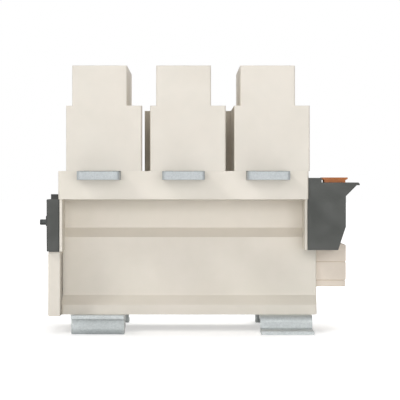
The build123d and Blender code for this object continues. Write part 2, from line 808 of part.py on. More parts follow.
def guide_cover():
    """The dark cover above the cheek, with the drive lug's slot, cored ends and two tabs."""
    right = housing_left - cover_gap
    bottom = housing_bottom + cheek_height + guide_clearance
    body = block((cover_left, right), (-cover_half_depth, cover_half_depth), (bottom, block_bottom))
    body = fillet(body.faces().sort_by(Axis.X)[0].edges(), cover_corner)
    reach, top = neck_half - cover_wall, block_bottom - cover_wall
    hollow = block((cover_left + cover_wall, right), (-reach, reach), (bottom + cover_wall, top))
    z = side_screw_places()[1]
    for end in (-1, 1):
        core_y = sorted((end * neck_half, end * (cover_half_depth - cover_wall)))
        body -= block((cover_left + cover_wall, right - cover_wall), core_y, (bottom, top))
        hollow -= rod_x(m4_head_radius + cover_wall, cover_left, right, side_screw_y * end, z)
    body -= hollow
    half = lug_half_depth + lever_clearance
    body -= block((cover_left, right), (-half, half), lug_window())
    for end in (-1, 1):
        body -= rod_x(m4_radius + screw_clearance, cover_left, right, side_screw_y * end, z)
        head = (cover_left, cover_left + m4_head_height)
        body -= rod_x(m4_head_radius + screw_clearance, *head, side_screw_y * end, z)
        tab_right = block_left - guide_clearance
        tab_y = sorted((end * cover_half_depth, end * (cover_half_depth - cover_tab_length)))
        tab_z = (block_bottom, block_bottom + cover_tab_height)
        body += block((tab_right - cover_tab_thickness, tab_right), tab_y, tab_z)
        spacer_y = sorted((end * (side_screw_y - m4_head_radius), end * (side_screw_y + m4_head_radius)))
        spacer = block((right, housing_left), spacer_y, (z - m4_head_radius, z + m4_head_radius))
        body += spacer - rod_x(m4_radius + screw_clearance, right, housing_left, side_screw_y * end, z)
    return body


def drive_lug():
    """The block that stands out of the guide cover and moves with the crossbar."""
    bottom = armature_top - lug_drop
    left = cover_left - lug_reach
    body = block((left, arm_left), (-lug_half_depth, lug_half_depth), (bottom, bottom + lug_height))
    body = chamfer(body.faces().sort_by(Axis.X)[0].edges().filter_by(Axis.Y), lug_corner)
    return body - rod_x(pin_radius, left, arm_left, 0, bottom + pin_rise)


def drive_pin():
    """The steel pin through the lug and the crossbar's arm."""
    low, z = cover_left - pin_reach, armature_top - lug_drop + pin_rise
    pin = rod_x(pin_radius, low, crossbar_left, 0, z)
    return chamfer(pin.faces().sort_by(Axis.X)[0].edges(), pin_corner)


def holder_outline():
    """The auxiliary holder's section across X: sloping foot, belly, rail lip and ridge."""
    left, top = block_right - 2 * holder_gap, holder_top()
    right = left + holder_width
    bottom = block_bottom - holder_drop
    belly = right + holder_belly
    waist = bottom + holder_foot_slope
    lip_z = waist + holder_waist_height + holder_lip
    ridge = block_right + holder_gap
    rail = belly + holder_lip + holder_rail
    return [
        (left, bottom), (right, bottom), (belly, waist), (belly, lip_z - holder_lip), (belly + holder_lip, lip_z),
        (rail, lip_z), (rail, top - holder_rail_thickness / 2), (rail - holder_rail_thickness / 2, top),
        (ridge + holder_ridge_width, top), (ridge + holder_ridge_width, top + holder_ridge_height),
        (ridge, top + holder_ridge_height), (ridge, block_bottom), (left, block_bottom),
    ]


def holder_top():
    """The level of the auxiliary holder's flat top."""
    rise = holder_foot_slope + holder_waist_height + holder_lip + holder_rail_thickness
    return block_bottom - holder_drop + rise


def holder_inner():
    """The auxiliary holder's hollow across X."""
    left = max(block_right - 2 * holder_gap, housing_right + holder_gap) + holder_wall
    belly = block_right - 2 * holder_gap + holder_width + holder_belly - holder_wall
    bottom = block_bottom - holder_drop + holder_wall
    waist = bottom + holder_foot_slope - holder_wall
    top = holder_top() - holder_wall
    return [(left, bottom), (belly - holder_belly, bottom), (belly, waist), (belly, top), (left, top)]


def head_limits():
    """The slide's head: its limits along X and Y."""
    left = block_right + head_offset + guide_clearance
    near = slide_end_inset - block_half_depth
    return (left, left + head_width), (near, near + head_depth)


def slide_levels():
    """The underside and top of the slide's head at rest."""
    low = holder_top() + head_rise
    return low, low + head_thickness


def neck_limits():
    """The slide's neck along X, centred under its head."""
    (left, right), _ = head_limits()
    middle = (left + right) / 2
    return middle - neck_width / 2, middle + neck_width / 2


def lever_at(distance, side=1):
    """The height of the lever's middle line above the pivot, at a distance from it, at rest."""
    return side * distance * math.sin(math.radians(lever_swing))


def aux_holder():
    """The dark holder for auxiliary contacts, hollow, with a rail lip, a slot and two pivot ears."""
    deep = (-block_half_depth, block_half_depth)
    hollow = along_y(holder_inner(), deep[0] + holder_wall, deep[1] - holder_wall)
    saddle_y, saddle_top = box_half_depth + holder_gap, box_levels()[3] + holder_gap
    across = (block_right - 2 * holder_gap, housing_right + box_depth)
    below = block_bottom - holder_drop
    wall_y, wall_top = saddle_y + holder_wall, saddle_top + holder_wall
    body = along_y(holder_outline(), *deep) - (hollow - block(across, (-wall_y, wall_y), (below, wall_top)))
    body -= block(across, (-saddle_y, saddle_y), (below, saddle_top))
    gap_x = (block_right - 2 * holder_gap, housing_right + holder_gap)
    gap_y = waist_half + holder_gap
    body -= block(gap_x, (-gap_y, gap_y), (block_bottom - holder_drop, block_bottom))
    (head_left, head_right), (near, back) = head_limits()
    head_x = (head_left - guide_clearance, head_right + guide_clearance)
    head_y = (near - guide_clearance, back + guide_clearance)
    recess = slide_levels()[0] - aux_travel - guide_clearance
    body -= block(head_x, head_y, (recess, holder_top()))
    neck_left, neck_right = neck_limits()
    neck_x = (neck_left - guide_clearance, neck_right + guide_clearance)
    body -= block(neck_x, head_y, (slide_shoulder() - aux_travel - guide_clearance, holder_top()))
    ear_left = pivot_x - lever_boss_radius - ear_front
    ear_half = lever_boss_radius + ear_margin
    ear_right = holder_inner()[2][0]
    for end in (-1, 1):
        low = lever_width / 2 + guide_clearance
        y = sorted((end * low, end * (low + ear_width)))
        ear = block((ear_left, ear_right), y, (pivot_z - ear_half, pivot_z + ear_half))
        body += ear - rod_y(lever_pin_radius, *y, pivot_x, pivot_z)
        z = side_screw_places()[2]
        hole_x = (housing_right, housing_right + holder_gap + holder_wall)
        spacer = rod_x(m4_head_radius, housing_right, housing_right + holder_gap, side_screw_y * end, z)
        body += spacer
        body -= rod_x(m4_radius + screw_clearance, *hole_x, side_screw_y * end, z)
    window = lever_width / 2 + lever_clearance + lever_window_margin
    wall_x = (housing_right, housing_right + holder_gap + holder_wall)
    low, high = lever_window()
    body -= block(wall_x, (-window, window), (low - aux_travel, high + aux_travel))
    return body


def slide_shoulder():
    """The level where the slide's neck narrows to fit between the holder's walls."""
    return holder_top() - holder_wall


def aux_slide():
    """The orange slide: a T-shaped head on a neck with two walls, and a beam back to the lever."""
    (left, right), (near, back) = head_limits()
    neck_left, neck_right = neck_limits()
    head_low, head_high = slide_levels()
    inner_right = holder_inner()[2][0] - guide_clearance
    foot, shoulder = head_low - neck_height, slide_shoulder()
    outline = [
        (left, head_low + head_slope), (neck_left, head_low), (neck_left, foot), (neck_left + neck_wall, foot),
        (neck_left + neck_wall, shoulder), (inner_right - neck_wall, shoulder), (inner_right - neck_wall, foot),
        (inner_right, foot), (inner_right, shoulder), (neck_right, shoulder), (neck_right, head_low),
        (right, head_low + head_slope), (right, head_high), (left, head_high),
    ]
    body = along_y(outline, near, back)
    beam_z = pivot_z + lever_at(slide_reach)
    beam_x = slide_beam()
    low, high = beam_z - beam_height / 2, max(beam_z + beam_height / 2, foot + beam_root)
    body += block(beam_x, (near, beam_back), (low, high))
    slope = beam_width / 2 * math.tan(math.radians(lever_swing))
    half_z = lever_height / 2 / math.cos(math.radians(lever_swing)) + slope + lever_clearance
    half_y = lever_width / 2 + lever_clearance
    return body - block(beam_x, (-half_y, half_y), (beam_z - half_z, beam_z + half_z))


def slide_beam():
    """The slide beam's limits along X."""
    return beam_left, beam_left + beam_width


def aux_lever():
    """The lever that turns the crossbar's stroke into the slide's shorter travel."""
    bar = block((-lever_reach, 0), (-lever_width / 2, lever_width / 2), (-lever_height / 2, lever_height / 2))
    bar += rod_y(lever_height / 2, -lever_width / 2, lever_width / 2, -lever_reach, 0)
    bar += rod_y(lever_boss_radius, -lever_width / 2, lever_width / 2, 0, 0)
    bar -= rod_y(lever_pin_radius + running_clearance, -lever_width / 2, lever_width / 2, 0, 0)
    return Pos(pivot_x, 0, pivot_z) * Rot(0, lever_swing, 0) * bar


def lever_pin():
    """The pin that the lever turns on."""
    reach = lever_width / 2 + guide_clearance + ear_width
    return rod_y(lever_pin_radius, -reach, reach, pivot_x, pivot_z)


def box_levels():
    """The seams of the coil terminal box, from its underside up."""
    base = housing_bottom + box_bottom
    body = base + box_base_height
    cover = body + box_body_height
    return base, body, cover, cover + box_cover_height


def coil_box_base():
    """The lowest moulding of the coil terminal box."""
    base, body, _, _ = box_levels()
    deep = (-box_half_depth, box_half_depth)
    part = block((housing_right, housing_right + box_depth - box_base_inset), deep, (base, body))
    return bevel_open_edges(part)


def bevel_open_edges(part):
    """Bevels every edge that doesn't lie against the housing, so that the seams show as grooves."""
    against_housing = part.faces().sort_by(Axis.X)[0].edges()
    return chamfer([edge for edge in part.edges() if edge not in against_housing], box_edge)


def clamp_pockets():
    """The limits of the two pockets that the coil's wires go into."""
    _, body, cover, _ = box_levels()
    middle = (body + cover) / 2
    half_y, half_z = clamp_width / 2 + clamp_pocket_margin, clamp_height / 2 + clamp_pocket_margin
    x = (housing_right + box_depth - clamp_pocket_depth, housing_right + box_depth)
    levels = (middle - half_z, middle + half_z)
    return [(x, (y - half_y, y + half_y), levels) for y in (-clamp_offset, clamp_offset)]


def coil_box_body():
    """The middle moulding, with a pocket for each coil terminal."""
    _, body, cover, _ = box_levels()
    deep = (-box_half_depth, box_half_depth)
    part = block((housing_right, housing_right + box_depth), deep, (body, cover))
    part = bevel_open_edges(part)
    for x, y, z in clamp_pockets():
        part -= block(x, y, z)
        screw_x = (x[0] - screw_grip, x[0])
        part -= rod_x(clamp_screw_radius, *screw_x, sum(y) / 2, sum(z) / 2)
    return part


def coil_box_cover():
    """The top moulding, with its sloping outer edge."""
    _, _, cover, top = box_levels()
    right = housing_right + box_depth
    outline = [
        (housing_right, cover), (right, cover), (right, top - box_slant_drop),
        (right - box_slant_width, top), (housing_right, top),
    ]
    return bevel_open_edges(along_y(outline, -box_half_depth, box_half_depth))


def coil_clamps():
    """The brass clamp plates of the coil terminals, each turned up at its two ends."""
    clamps = []
    for x, y, z in clamp_pockets():
        middle_y, middle_z = sum(y) / 2, sum(z) / 2
        x_low = x[0]
        plate = block(
            (x_low, x_low + clamp_thickness), (middle_y - clamp_width / 2, middle_y + clamp_width / 2),
            (middle_z - clamp_height / 2, middle_z + clamp_height / 2),
        )
        plate = chamfer(plate.faces().sort_by(Axis.X)[-1].edges().filter_by(Axis.Z), 1)
        clamps.append(plate - rod_x(clamp_screw_radius, x_low, x_low + clamp_thickness, middle_y, middle_z))
    return clamps


def coil_clamp_screws():
    """The screws of the coil terminals."""
    one = screw(clamp_screw_radius, clamp_screw_head, clamp_screw_head_height, clamp_thickness + screw_grip)
    place = clamp_pockets()[0][0][0] + clamp_thickness
    return [Pos(place, sum(y) / 2, sum(z) / 2) * Rot(0, 90, 0) * one for _, y, z in clamp_pockets()]


def side_screws():
    """The short screws of the cheek, the guide cover and the auxiliary holder."""
    cheek_z, cover_z, holder_z = side_screw_places()
    left_cheek_face = housing_left - cheek_thickness + m4_head_height
    left_cover_face = cover_left + m4_head_height
    inner_wall = housing_left + housing_wall
    screws = []
    for end in (-1, 1):
        y = side_screw_y * end
        for face, z in ((left_cheek_face, cheek_z), (left_cover_face, cover_z)):
            one = screw(m4_radius, m4_head_radius, m4_head_height, inner_wall - face)
            screws.append(Pos(face, y, z) * Rot(0, -90, 0) * one)
        face = housing_right + holder_gap + holder_wall
        one = screw(m4_radius, m4_head_radius, m4_head_height, holder_gap + holder_wall + housing_wall)
        screws.append(Pos(face, y, holder_z) * Rot(0, 90, 0) * one)
    return screws


def chute_screws():
    """The long screws through the ears of the arc chutes."""
    head_bottom = chute_head_level()
    one = screw(m5_radius, m5_head_radius, m5_head_height, head_bottom - block_top + screw_grip)
    return [Pos(x, y, head_bottom) * one for x, y in chute_screw_places()]


def block_screws():
    """The screws that hold the pole block on the lower housing."""
    head_bottom = block_top - m5_head_height
    length = head_bottom - block_bottom + screw_grip
    one = screw(m5_radius, m5_head_radius, m5_head_height, length)
    return [Pos(x, y, head_bottom) * one for x, y in block_screw_places()]


def bracket_screws():
    """The screws that hold the foot brackets under the housing."""
    length = sheet + housing_floor + 2 * m6_radius - bracket_screw_inset
    one = hexagon_screw(m6_radius, m6_head_radius, m6_head_height, length)
    return [Pos(x, y, housing_bottom - sheet) * Rot(180, 0, 0) * one for x, y in flange_screw_places()]


def drill_bracket(body, x, end):
    """Cuts a bracket's mounting hole and its two flange holes."""
    body -= rod_z(foot_hole_diameter / 2, 0, sheet, x, end * foot_spacing_y / 2)
    for screw_x, screw_y in flange_screw_places():
        if abs(screw_x - x) < bracket_width / 2 and screw_y * end > 0:
            hole = m6_radius + screw_clearance
            body -= rod_z(hole, housing_bottom - sheet, housing_bottom, screw_x, screw_y)
    return body


def foot_bracket(x, end):
    """A Z-shaped foot: flange under the housing, web, and foot turned outwards on the mounting plate."""
    path = [(-flange_end, housing_bottom), (-foot_web, housing_bottom), (-foot_web, sheet)]
    path += [(-foot_web - foot_length, sheet)]
    line = FilletPolyline(*path, radius=[bend_radius + sheet, bend_radius])
    section = make_face(offset(line, sheet, side=Side.LEFT))
    body = extrude(Plane.YZ * section, bracket_width / 2, both=True)
    if end > 0:
        body = Rot(0, 0, 180) * body
    return drill_bracket(Pos(x, 0, 0) * body, x, end)


def lip_bracket(x, end):
    """A box-shaped foot: lip, outer web, floor with the mounting hole, side wall and upper flange."""
    low_x, high_x = -bracket_width / 2, bracket_width / 2
    inner_web = sheet - lip_web
    path = [(-lip_web - lip_length, lip_height), (inner_web, lip_height), (inner_web, sheet), (-foot_web, sheet)]
    line = FilletPolyline(*path, radius=[bend_radius + sheet, bend_radius])
    section = make_face(offset(line, sheet, side=Side.RIGHT))
    body = extrude(Plane.YZ * section, bracket_width / 2, both=True)
    wall_y = (-lip_web + sheet, -lip_side_end)
    body += block((high_x - sheet, high_x), wall_y, (sheet, housing_bottom))
    body += block((high_x - sheet, high_x), (-lip_web + sheet, -foot_web), (0, sheet))
    body += block((low_x, high_x), (-foot_web - sheet, -flange_end), (housing_bottom - sheet, housing_bottom))
    if end > 0:
        body = Rot(0, 0, 180) * body
    return drill_bracket(Pos(x, 0, 0) * body, x, end)


def build_parts():
    """Every node by name, as one solid or a list of separate solids."""
    parts = {
        "lower_housing": lower_housing(),
        "pole_block": pole_block(),
        "left_cheek": left_cheek(),
        "guide_cover": guide_cover(),
        "drive_lug": drive_lug(),
        "drive_pin": drive_pin(),
        "crossbar": crossbar(),
        "armature": armature(),
        "armature_screws": armature_screws(),
        "fixed_core": fixed_core(),
        "shading_rings": shading_rings(),
        "core_buffers": core_buffers(),
        "coil_bobbins": [bobbin(x) for x in leg_x],
        "coil_windings": [winding(x) for x in leg_x],
        "return_springs": return_springs(),
        "fixed_tips": [tip for x in pole_x for tip in tips(x, bar_top, fixed_tip_top)],
        "arc_runners": arc_runners(),
        "aux_holder": aux_holder(),
        "aux_slide": aux_slide(),
        "aux_lever": aux_lever(),
        "lever_pin": lever_pin(),
        "coil_box_base": coil_box_base(),
        "coil_box_body": coil_box_body(),
        "coil_box_cover": coil_box_cover(),
        "coil_clamps": coil_clamps(),
        "coil_clamp_screws": coil_clamp_screws(),
        "bar_screws": bar_screws(),
        "chute_screws": chute_screws(),
        "block_screws": block_screws(),
        "side_screws": side_screws(),
        "bracket_screws": bracket_screws(),
        "line_left_bracket": lip_bracket(-foot_spacing_x / 2, -1),
        "line_right_bracket": foot_bracket(foot_spacing_x / 2, -1),
        "load_left_bracket": foot_bracket(-foot_spacing_x / 2, 1),
        "load_right_bracket": lip_bracket(foot_spacing_x / 2, 1),
    }
    for name, x in zip(pole_names, pole_x):
        parts[f"line_bar_{name}"] = terminal_bar(x, -1)
        parts[f"load_bar_{name}"] = terminal_bar(x, 1)
        parts[f"arc_chute_{name}"] = arc_chute(x)
        parts[f"arc_plates_{name}"] = arc_plates(x)
        parts[f"plate_boards_{name}"] = plate_boards(x)
        parts[f"contact_bridge_{name}"] = contact_bridge(x)
        parts[f"moving_tips_{name}"] = tips(x, bridge_bottom - tip_thickness, bridge_bottom)
        bore = contact_spring_radius - spring_wire
        levels = (bridge_top, stirrup_window_top)
        spring = coil_spring(contact_spring_radius, bore, *levels, contact_spring_pitch, x, 0)
        parts[f"contact_spring_{name}"] = spring
    return parts


def write_parts():
    """Writes each node to its own file."""
    os.makedirs("parts", exist_ok=True)
    for name, shape in build_parts().items():
        solids = shape if isinstance(shape, list) else [shape]
        loose = [solid for item in solids for solid in item.solids()]
        export_step(Compound(children=loose), f"parts/{name}.step")


write_parts()
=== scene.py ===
"""Finishes, fine pieces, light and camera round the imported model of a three-pole block contactor.

The contactor lies on its four feet. Everything is in metres, in the model's own frame: +X across the poles,
+Y from the line terminals to the load terminals, +Z away from the mounting plate.
"""

import json
import logging
import math
from dataclasses import dataclass
from enum import Enum

import bpy
import numpy as np
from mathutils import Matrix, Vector


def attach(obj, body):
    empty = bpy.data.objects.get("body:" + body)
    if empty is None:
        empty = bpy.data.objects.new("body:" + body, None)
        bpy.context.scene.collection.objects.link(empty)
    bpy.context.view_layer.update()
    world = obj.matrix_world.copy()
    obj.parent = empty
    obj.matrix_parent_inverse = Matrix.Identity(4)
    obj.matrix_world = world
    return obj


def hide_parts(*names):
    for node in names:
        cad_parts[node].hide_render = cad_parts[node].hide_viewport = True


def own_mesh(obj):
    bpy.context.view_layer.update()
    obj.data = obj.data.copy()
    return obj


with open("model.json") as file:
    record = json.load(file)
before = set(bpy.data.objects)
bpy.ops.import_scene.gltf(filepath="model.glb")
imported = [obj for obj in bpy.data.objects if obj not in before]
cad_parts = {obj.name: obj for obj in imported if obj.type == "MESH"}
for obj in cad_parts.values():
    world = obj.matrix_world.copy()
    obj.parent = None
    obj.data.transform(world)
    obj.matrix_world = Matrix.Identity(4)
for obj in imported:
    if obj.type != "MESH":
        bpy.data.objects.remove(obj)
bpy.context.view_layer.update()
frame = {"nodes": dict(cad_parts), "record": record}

LOG = logging.getLogger("contactor")
MM = 0.001
POLES = ("left", "middle", "right")

# Most of a noise's values lie between these two.
NOISE_LOW = 0.3
NOISE_HIGH = 0.7

# A new piece looks creased where its faces turn by more than this.
SHARP_ANGLE = math.radians(38)

# Half the angle that one flat of a hexagon takes.
HALF_FLAT = math.pi / 6

Colour = tuple[float, float, float]
Point = tuple[float, float, float]
Limits = tuple[np.ndarray, np.ndarray]
Surface = tuple[np.ndarray, np.ndarray]
Material = bpy.types.Material
Node = bpy.types.Node
Socket = bpy.types.NodeSocket
Sockets = dict[str, Socket]
Tree = bpy.types.NodeTree


def srgb(red: int, green: int, blue: int) -> Colour:
    """Turns a colour written as on a screen into the linear one that shaders use.

    Args:
        red: red, 0 to 255.
        green: green, 0 to 255.
        blue: blue, 0 to 255.

    Returns:
        The colour as three linear numbers, 0 to 1.
    """
    shares = np.array([red, green, blue]) / 255
    linear = np.where(shares <= 0.04045, shares / 12.92, ((shares + 0.055) / 1.055) ** 2.4)
    return tuple(float(x) for x in linear)


def opaque(colour: object) -> object:
    """Adds a full alpha to a plain colour and leaves a socket as it is."""
    return colour if isinstance(colour, Socket) else (*colour, 1.0)


class Sheet:
    """A node tree that is being filled in."""

    def __init__(self, tree: Tree) -> None:
        """Keeps the node tree that nodes are added to."""
        self.tree = tree

    def add(self, kind: str, values: dict | None = None, **settings: object) -> Node:
        """Adds one node.

        Args:
            kind: the node's type name.
            values: input name or number, and the constant or the output socket that it takes.
            settings: the node's own properties.

        Returns:
            The new node.
        """
        node = self.tree.nodes.new(kind)
        for name, value in settings.items():
            setattr(node, name, value)
        for name, value in (values or {}).items():
            if isinstance(value, Socket):
                self.tree.links.new(value, node.inputs[name])
            else:
                node.inputs[name].default_value = value
        return node

    def math(self, operation: str, *operands: object) -> Socket:
        """Adds a math node that takes values or sockets, and gives its result."""
        return self.add("ShaderNodeMath", dict(enumerate(operands)), operation=operation).outputs[0]

    def mix(self, share: Socket, first: object, second: object) -> Socket:
        """Mixes two colours or colour sockets, with share, 0 to 1, of the second."""
        values = {0: share, 6: opaque(first), 7: opaque(second)}
        return self.add("ShaderNodeMix", values, data_type="RGBA").outputs[2]

    def ramp(
        self, value: Socket, low: float, high: float, to_low: float = 0.0, to_high: float = 1.0
    ) -> Socket:
        """Maps low to to_low and high to to_high, evenly between them and held past them."""
        values = {0: value, 1: low, 2: high, 3: to_low, 4: to_high}
        return self.add("ShaderNodeMapRange", values, clamp=True).outputs[0]

    def noise(self, vector: Socket, scale: Socket, detail: float, roughness: float = 0.5) -> Node:
        """Adds cloud noise: scale clouds to a metre, detail finer layers, and roughness as their strength."""
        values = {"Vector": vector, "Scale": scale, "Detail": detail, "Roughness": roughness}
        return self.add("ShaderNodeTexNoise", values)


def blank_sheet(owner: Material | bpy.types.World) -> Sheet:
    """Empties the node tree of a material or a world.

    Args:
        owner: the material or the world.

    Returns:
        Its node tree, ready to be filled in.
    """
    owner.use_nodes = True
    owner.node_tree.nodes.clear()
    return Sheet(owner.node_tree)


class Effect(Enum):
    """The shared effects, each a node group that is built once."""

    MOTTLE = "slow_mottle"
    GRAIN = "moulded_grain"
    EDGE = "edge_mask"
    SPANGLE = "zinc_spangle"
    BRUSH = "brushed_lines"
    STACK = "stacked_sheets"


class EffectLibrary:
    """Builds and places the shared node groups."""

    def __init__(self) -> None:
        """Starts with no group built."""
        self.built: dict[Effect, Tree] = {}

    def place(self, sheet: Sheet, effect: Effect, values: dict) -> Node:
        """Places a group in a material.

        Args:
            sheet: the material's node tree.
            effect: which effect.
            values: input names with their values or sockets.

        Returns:
            The group's node.
        """
        if effect not in self.built:
            self.built[effect] = getattr(self, "_" + effect.name.lower())()
        return sheet.add("ShaderNodeGroup", values, node_tree=self.built[effect])

    @staticmethod
    def _group(effect: Effect, takes: dict[str, str], gives: dict[str, str]) -> tuple[Sheet, Sockets]:
        """Starts a group with named inputs and outputs.

        Args:
            effect: which effect it is.
            takes: input names with their socket kinds.
            gives: output names with their socket kinds.

        Returns:
            The group's sheet, and the sockets of its inputs by name.
        """
        tree = bpy.data.node_groups.new(effect.value, "ShaderNodeTree")
        for name, kind in takes.items():
            tree.interface.new_socket(name, in_out="INPUT", socket_type="NodeSocket" + kind)
        for name, kind in gives.items():
            tree.interface.new_socket(name, in_out="OUTPUT", socket_type="NodeSocket" + kind)
        sheet = Sheet(tree)
        inputs = sheet.add("NodeGroupInput").outputs
        return sheet, {name: inputs[name] for name in takes}

    def _mottle(self) -> Tree:
        """Two sizes of cloud noise that drift a surface between two colours.

        Returns:
            The group, from Vector, Light, Dark and Size to Color.
        """
        finer = 7.3
        wide_share = 0.65
        fine_share = 0.35
        light_below = 0.38
        dark_above = 0.62
        takes = {"Vector": "Vector", "Light": "Color", "Dark": "Color", "Size": "Float"}
        sheet, given = self._group(Effect.MOTTLE, takes, {"Color": "Color"})
        scale = sheet.math("DIVIDE", 1.0, given["Size"])
        wide = sheet.noise(given["Vector"], scale, detail=2.0).outputs[0]
        fine = sheet.noise(given["Vector"], sheet.math("MULTIPLY", scale, finer), detail=3.0).outputs[0]
        both = sheet.math("MULTIPLY_ADD", wide, wide_share, sheet.math("MULTIPLY", fine, fine_share))
        mask = sheet.ramp(both, light_below, dark_above)
        sheet.add("NodeGroupOutput", {"Color": sheet.mix(mask, given["Light"], given["Dark"])})
        return sheet.tree

    def _grain(self) -> Tree:
        """The fine pitted grain that a mould leaves, with a slow waviness under it.

        Returns:
            The group, from Vector and Size to Height, the two added up, and Rough, the waviness, 0 to 1.
        """
        wave_scale = 0.04
        wave_share = 0.8
        takes = {"Vector": "Vector", "Size": "Float"}
        sheet, given = self._group(Effect.GRAIN, takes, {"Height": "Float", "Rough": "Float"})
        scale = sheet.math("DIVIDE", 1.0, given["Size"])
        fine = sheet.noise(given["Vector"], scale, detail=4.0).outputs[0]
        wave = sheet.noise(given["Vector"], sheet.math("MULTIPLY", scale, wave_scale), detail=1.0).outputs[0]
        height = sheet.math("ADD", fine, sheet.math("MULTIPLY", wave, wave_share))
        sheet.add("NodeGroupOutput", {"Height": height, "Rough": wave})
        return sheet.tree

    def _edge(self) -> Tree:
        """Where a surface bends sharply, broken up by noise.

        The bend is the cosine of the angle between the rounded normal and the face's own.

        Returns:
            The group, from Vector, Rounded and Size to Mask, 0 to 1.
        """
        flat_cosine = 0.998
        bent_cosine = 0.86
        faint_below = 0.4
        full_above = 0.62
        faint = 0.25
        takes = {"Vector": "Vector", "Rounded": "Vector", "Size": "Float"}
        sheet, given = self._group(Effect.EDGE, takes, {"Mask": "Float"})
        plain = sheet.add("ShaderNodeNewGeometry").outputs["Normal"]
        normals = {0: given["Rounded"], 1: plain}
        cosine = sheet.add("ShaderNodeVectorMath", normals, operation="DOT_PRODUCT").outputs["Value"]
        sharp = sheet.ramp(cosine, flat_cosine, bent_cosine)
        scale = sheet.math("DIVIDE", 1.0, given["Size"])
        patches = sheet.noise(given["Vector"], scale, detail=3.0).outputs[0]
        broken = sheet.ramp(patches, faint_below, full_above, faint, 1.0)
        sheet.add("NodeGroupOutput", {"Mask": sheet.math("MULTIPLY", sharp, broken)})
        return sheet.tree

    def _spangle(self) -> Tree:
        """Zinc crystals: cells of differing tone, shifted a little by noise, with a fine speckle over them.

        Returns:
            The group, from Vector, Light, Dark and Size to Color, Rough and Height.
        """
        shift_reach = 0.9 * MM
        cell_share = 0.45
        speck_share = 0.55
        speck_scale = 4.0
        dark_rough = 0.62
        light_rough = 0.36
        takes = {"Vector": "Vector", "Light": "Color", "Dark": "Color", "Size": "Float"}
        gives = {"Color": "Color", "Rough": "Float", "Height": "Float"}
        sheet, given = self._group(Effect.SPANGLE, takes, gives)
        vector = given["Vector"]
        scale = sheet.math("DIVIDE", 1.0, given["Size"])
        drift = sheet.noise(vector, scale, detail=2.0).outputs[1]
        shift = sheet.add("ShaderNodeVectorMath", {0: drift, 3: shift_reach}, operation="SCALE").outputs[0]
        moved = sheet.add("ShaderNodeVectorMath", {0: vector, 1: shift}, operation="ADD").outputs[0]
        cells = sheet.add("ShaderNodeTexVoronoi", {"Vector": moved, "Scale": scale}).outputs["Color"]
        tone = sheet.add("ShaderNodeSeparateColor", {0: cells}).outputs[0]
        finer = sheet.math("MULTIPLY", scale, speck_scale)
        speck = sheet.noise(vector, finer, detail=5.0, roughness=0.7).outputs[0]
        speckle = sheet.ramp(speck, NOISE_LOW, NOISE_HIGH, 0.0, speck_share)
        grey = sheet.math("ADD", sheet.math("MULTIPLY", tone, cell_share), speckle)
        colour = sheet.mix(grey, given["Dark"], given["Light"])
        rough = sheet.ramp(grey, 0.0, 1.0, dark_rough, light_rough)
        sheet.add("NodeGroupOutput", {"Color": colour, "Rough": rough, "Height": speck})
        return sheet.tree

    def _brush(self) -> Tree:
        """Fine drawn lines: noise that is stretched along the drawing direction.

        Returns:
            The group, from Vector, Stretch and Size to Lines, 0 to 1.
        """
        takes = {"Vector": "Vector", "Stretch": "Vector", "Size": "Float"}
        sheet, given = self._group(Effect.BRUSH, takes, {"Lines": "Float"})
        factors = {0: given["Vector"], 1: given["Stretch"]}
        drawn = sheet.add("ShaderNodeVectorMath", factors, operation="MULTIPLY").outputs[0]
        scale = sheet.math("DIVIDE", 1.0, given["Size"])
        sheet.add("NodeGroupOutput", {"Lines": sheet.noise(drawn, scale, detail=4.0).outputs[0]})
        return sheet.tree

    def _stack(self) -> Tree:
        """The edges of stacked sheets: a dark joint once in each sheet's thickness along Y.

        Returns:
            The group, from Vector and Pitch to Joint, 1 in a joint, and Tone, one value for each sheet.
        """
        sheet_middle = 0.5
        joint_from = 0.34
        joint_full = 0.5
        takes = {"Vector": "Vector", "Pitch": "Float"}
        sheet, given = self._group(Effect.STACK, takes, {"Joint": "Float", "Tone": "Float"})
        along = sheet.add("ShaderNodeSeparateXYZ", {0: given["Vector"]}).outputs[1]
        count = sheet.math("DIVIDE", along, given["Pitch"])
        off_middle = sheet.math("SUBTRACT", sheet.math("FRACT", count), sheet_middle)
        joint = sheet.ramp(sheet.math("ABSOLUTE", off_middle), joint_from, joint_full)
        number = {"W": sheet.math("FLOOR", count)}
        tone = sheet.add("ShaderNodeTexWhiteNoise", number, noise_dimensions="1D").outputs[0]
        sheet.add("NodeGroupOutput", {"Joint": joint, "Tone": tone})
        return sheet.tree


EFFECTS = EffectLibrary()


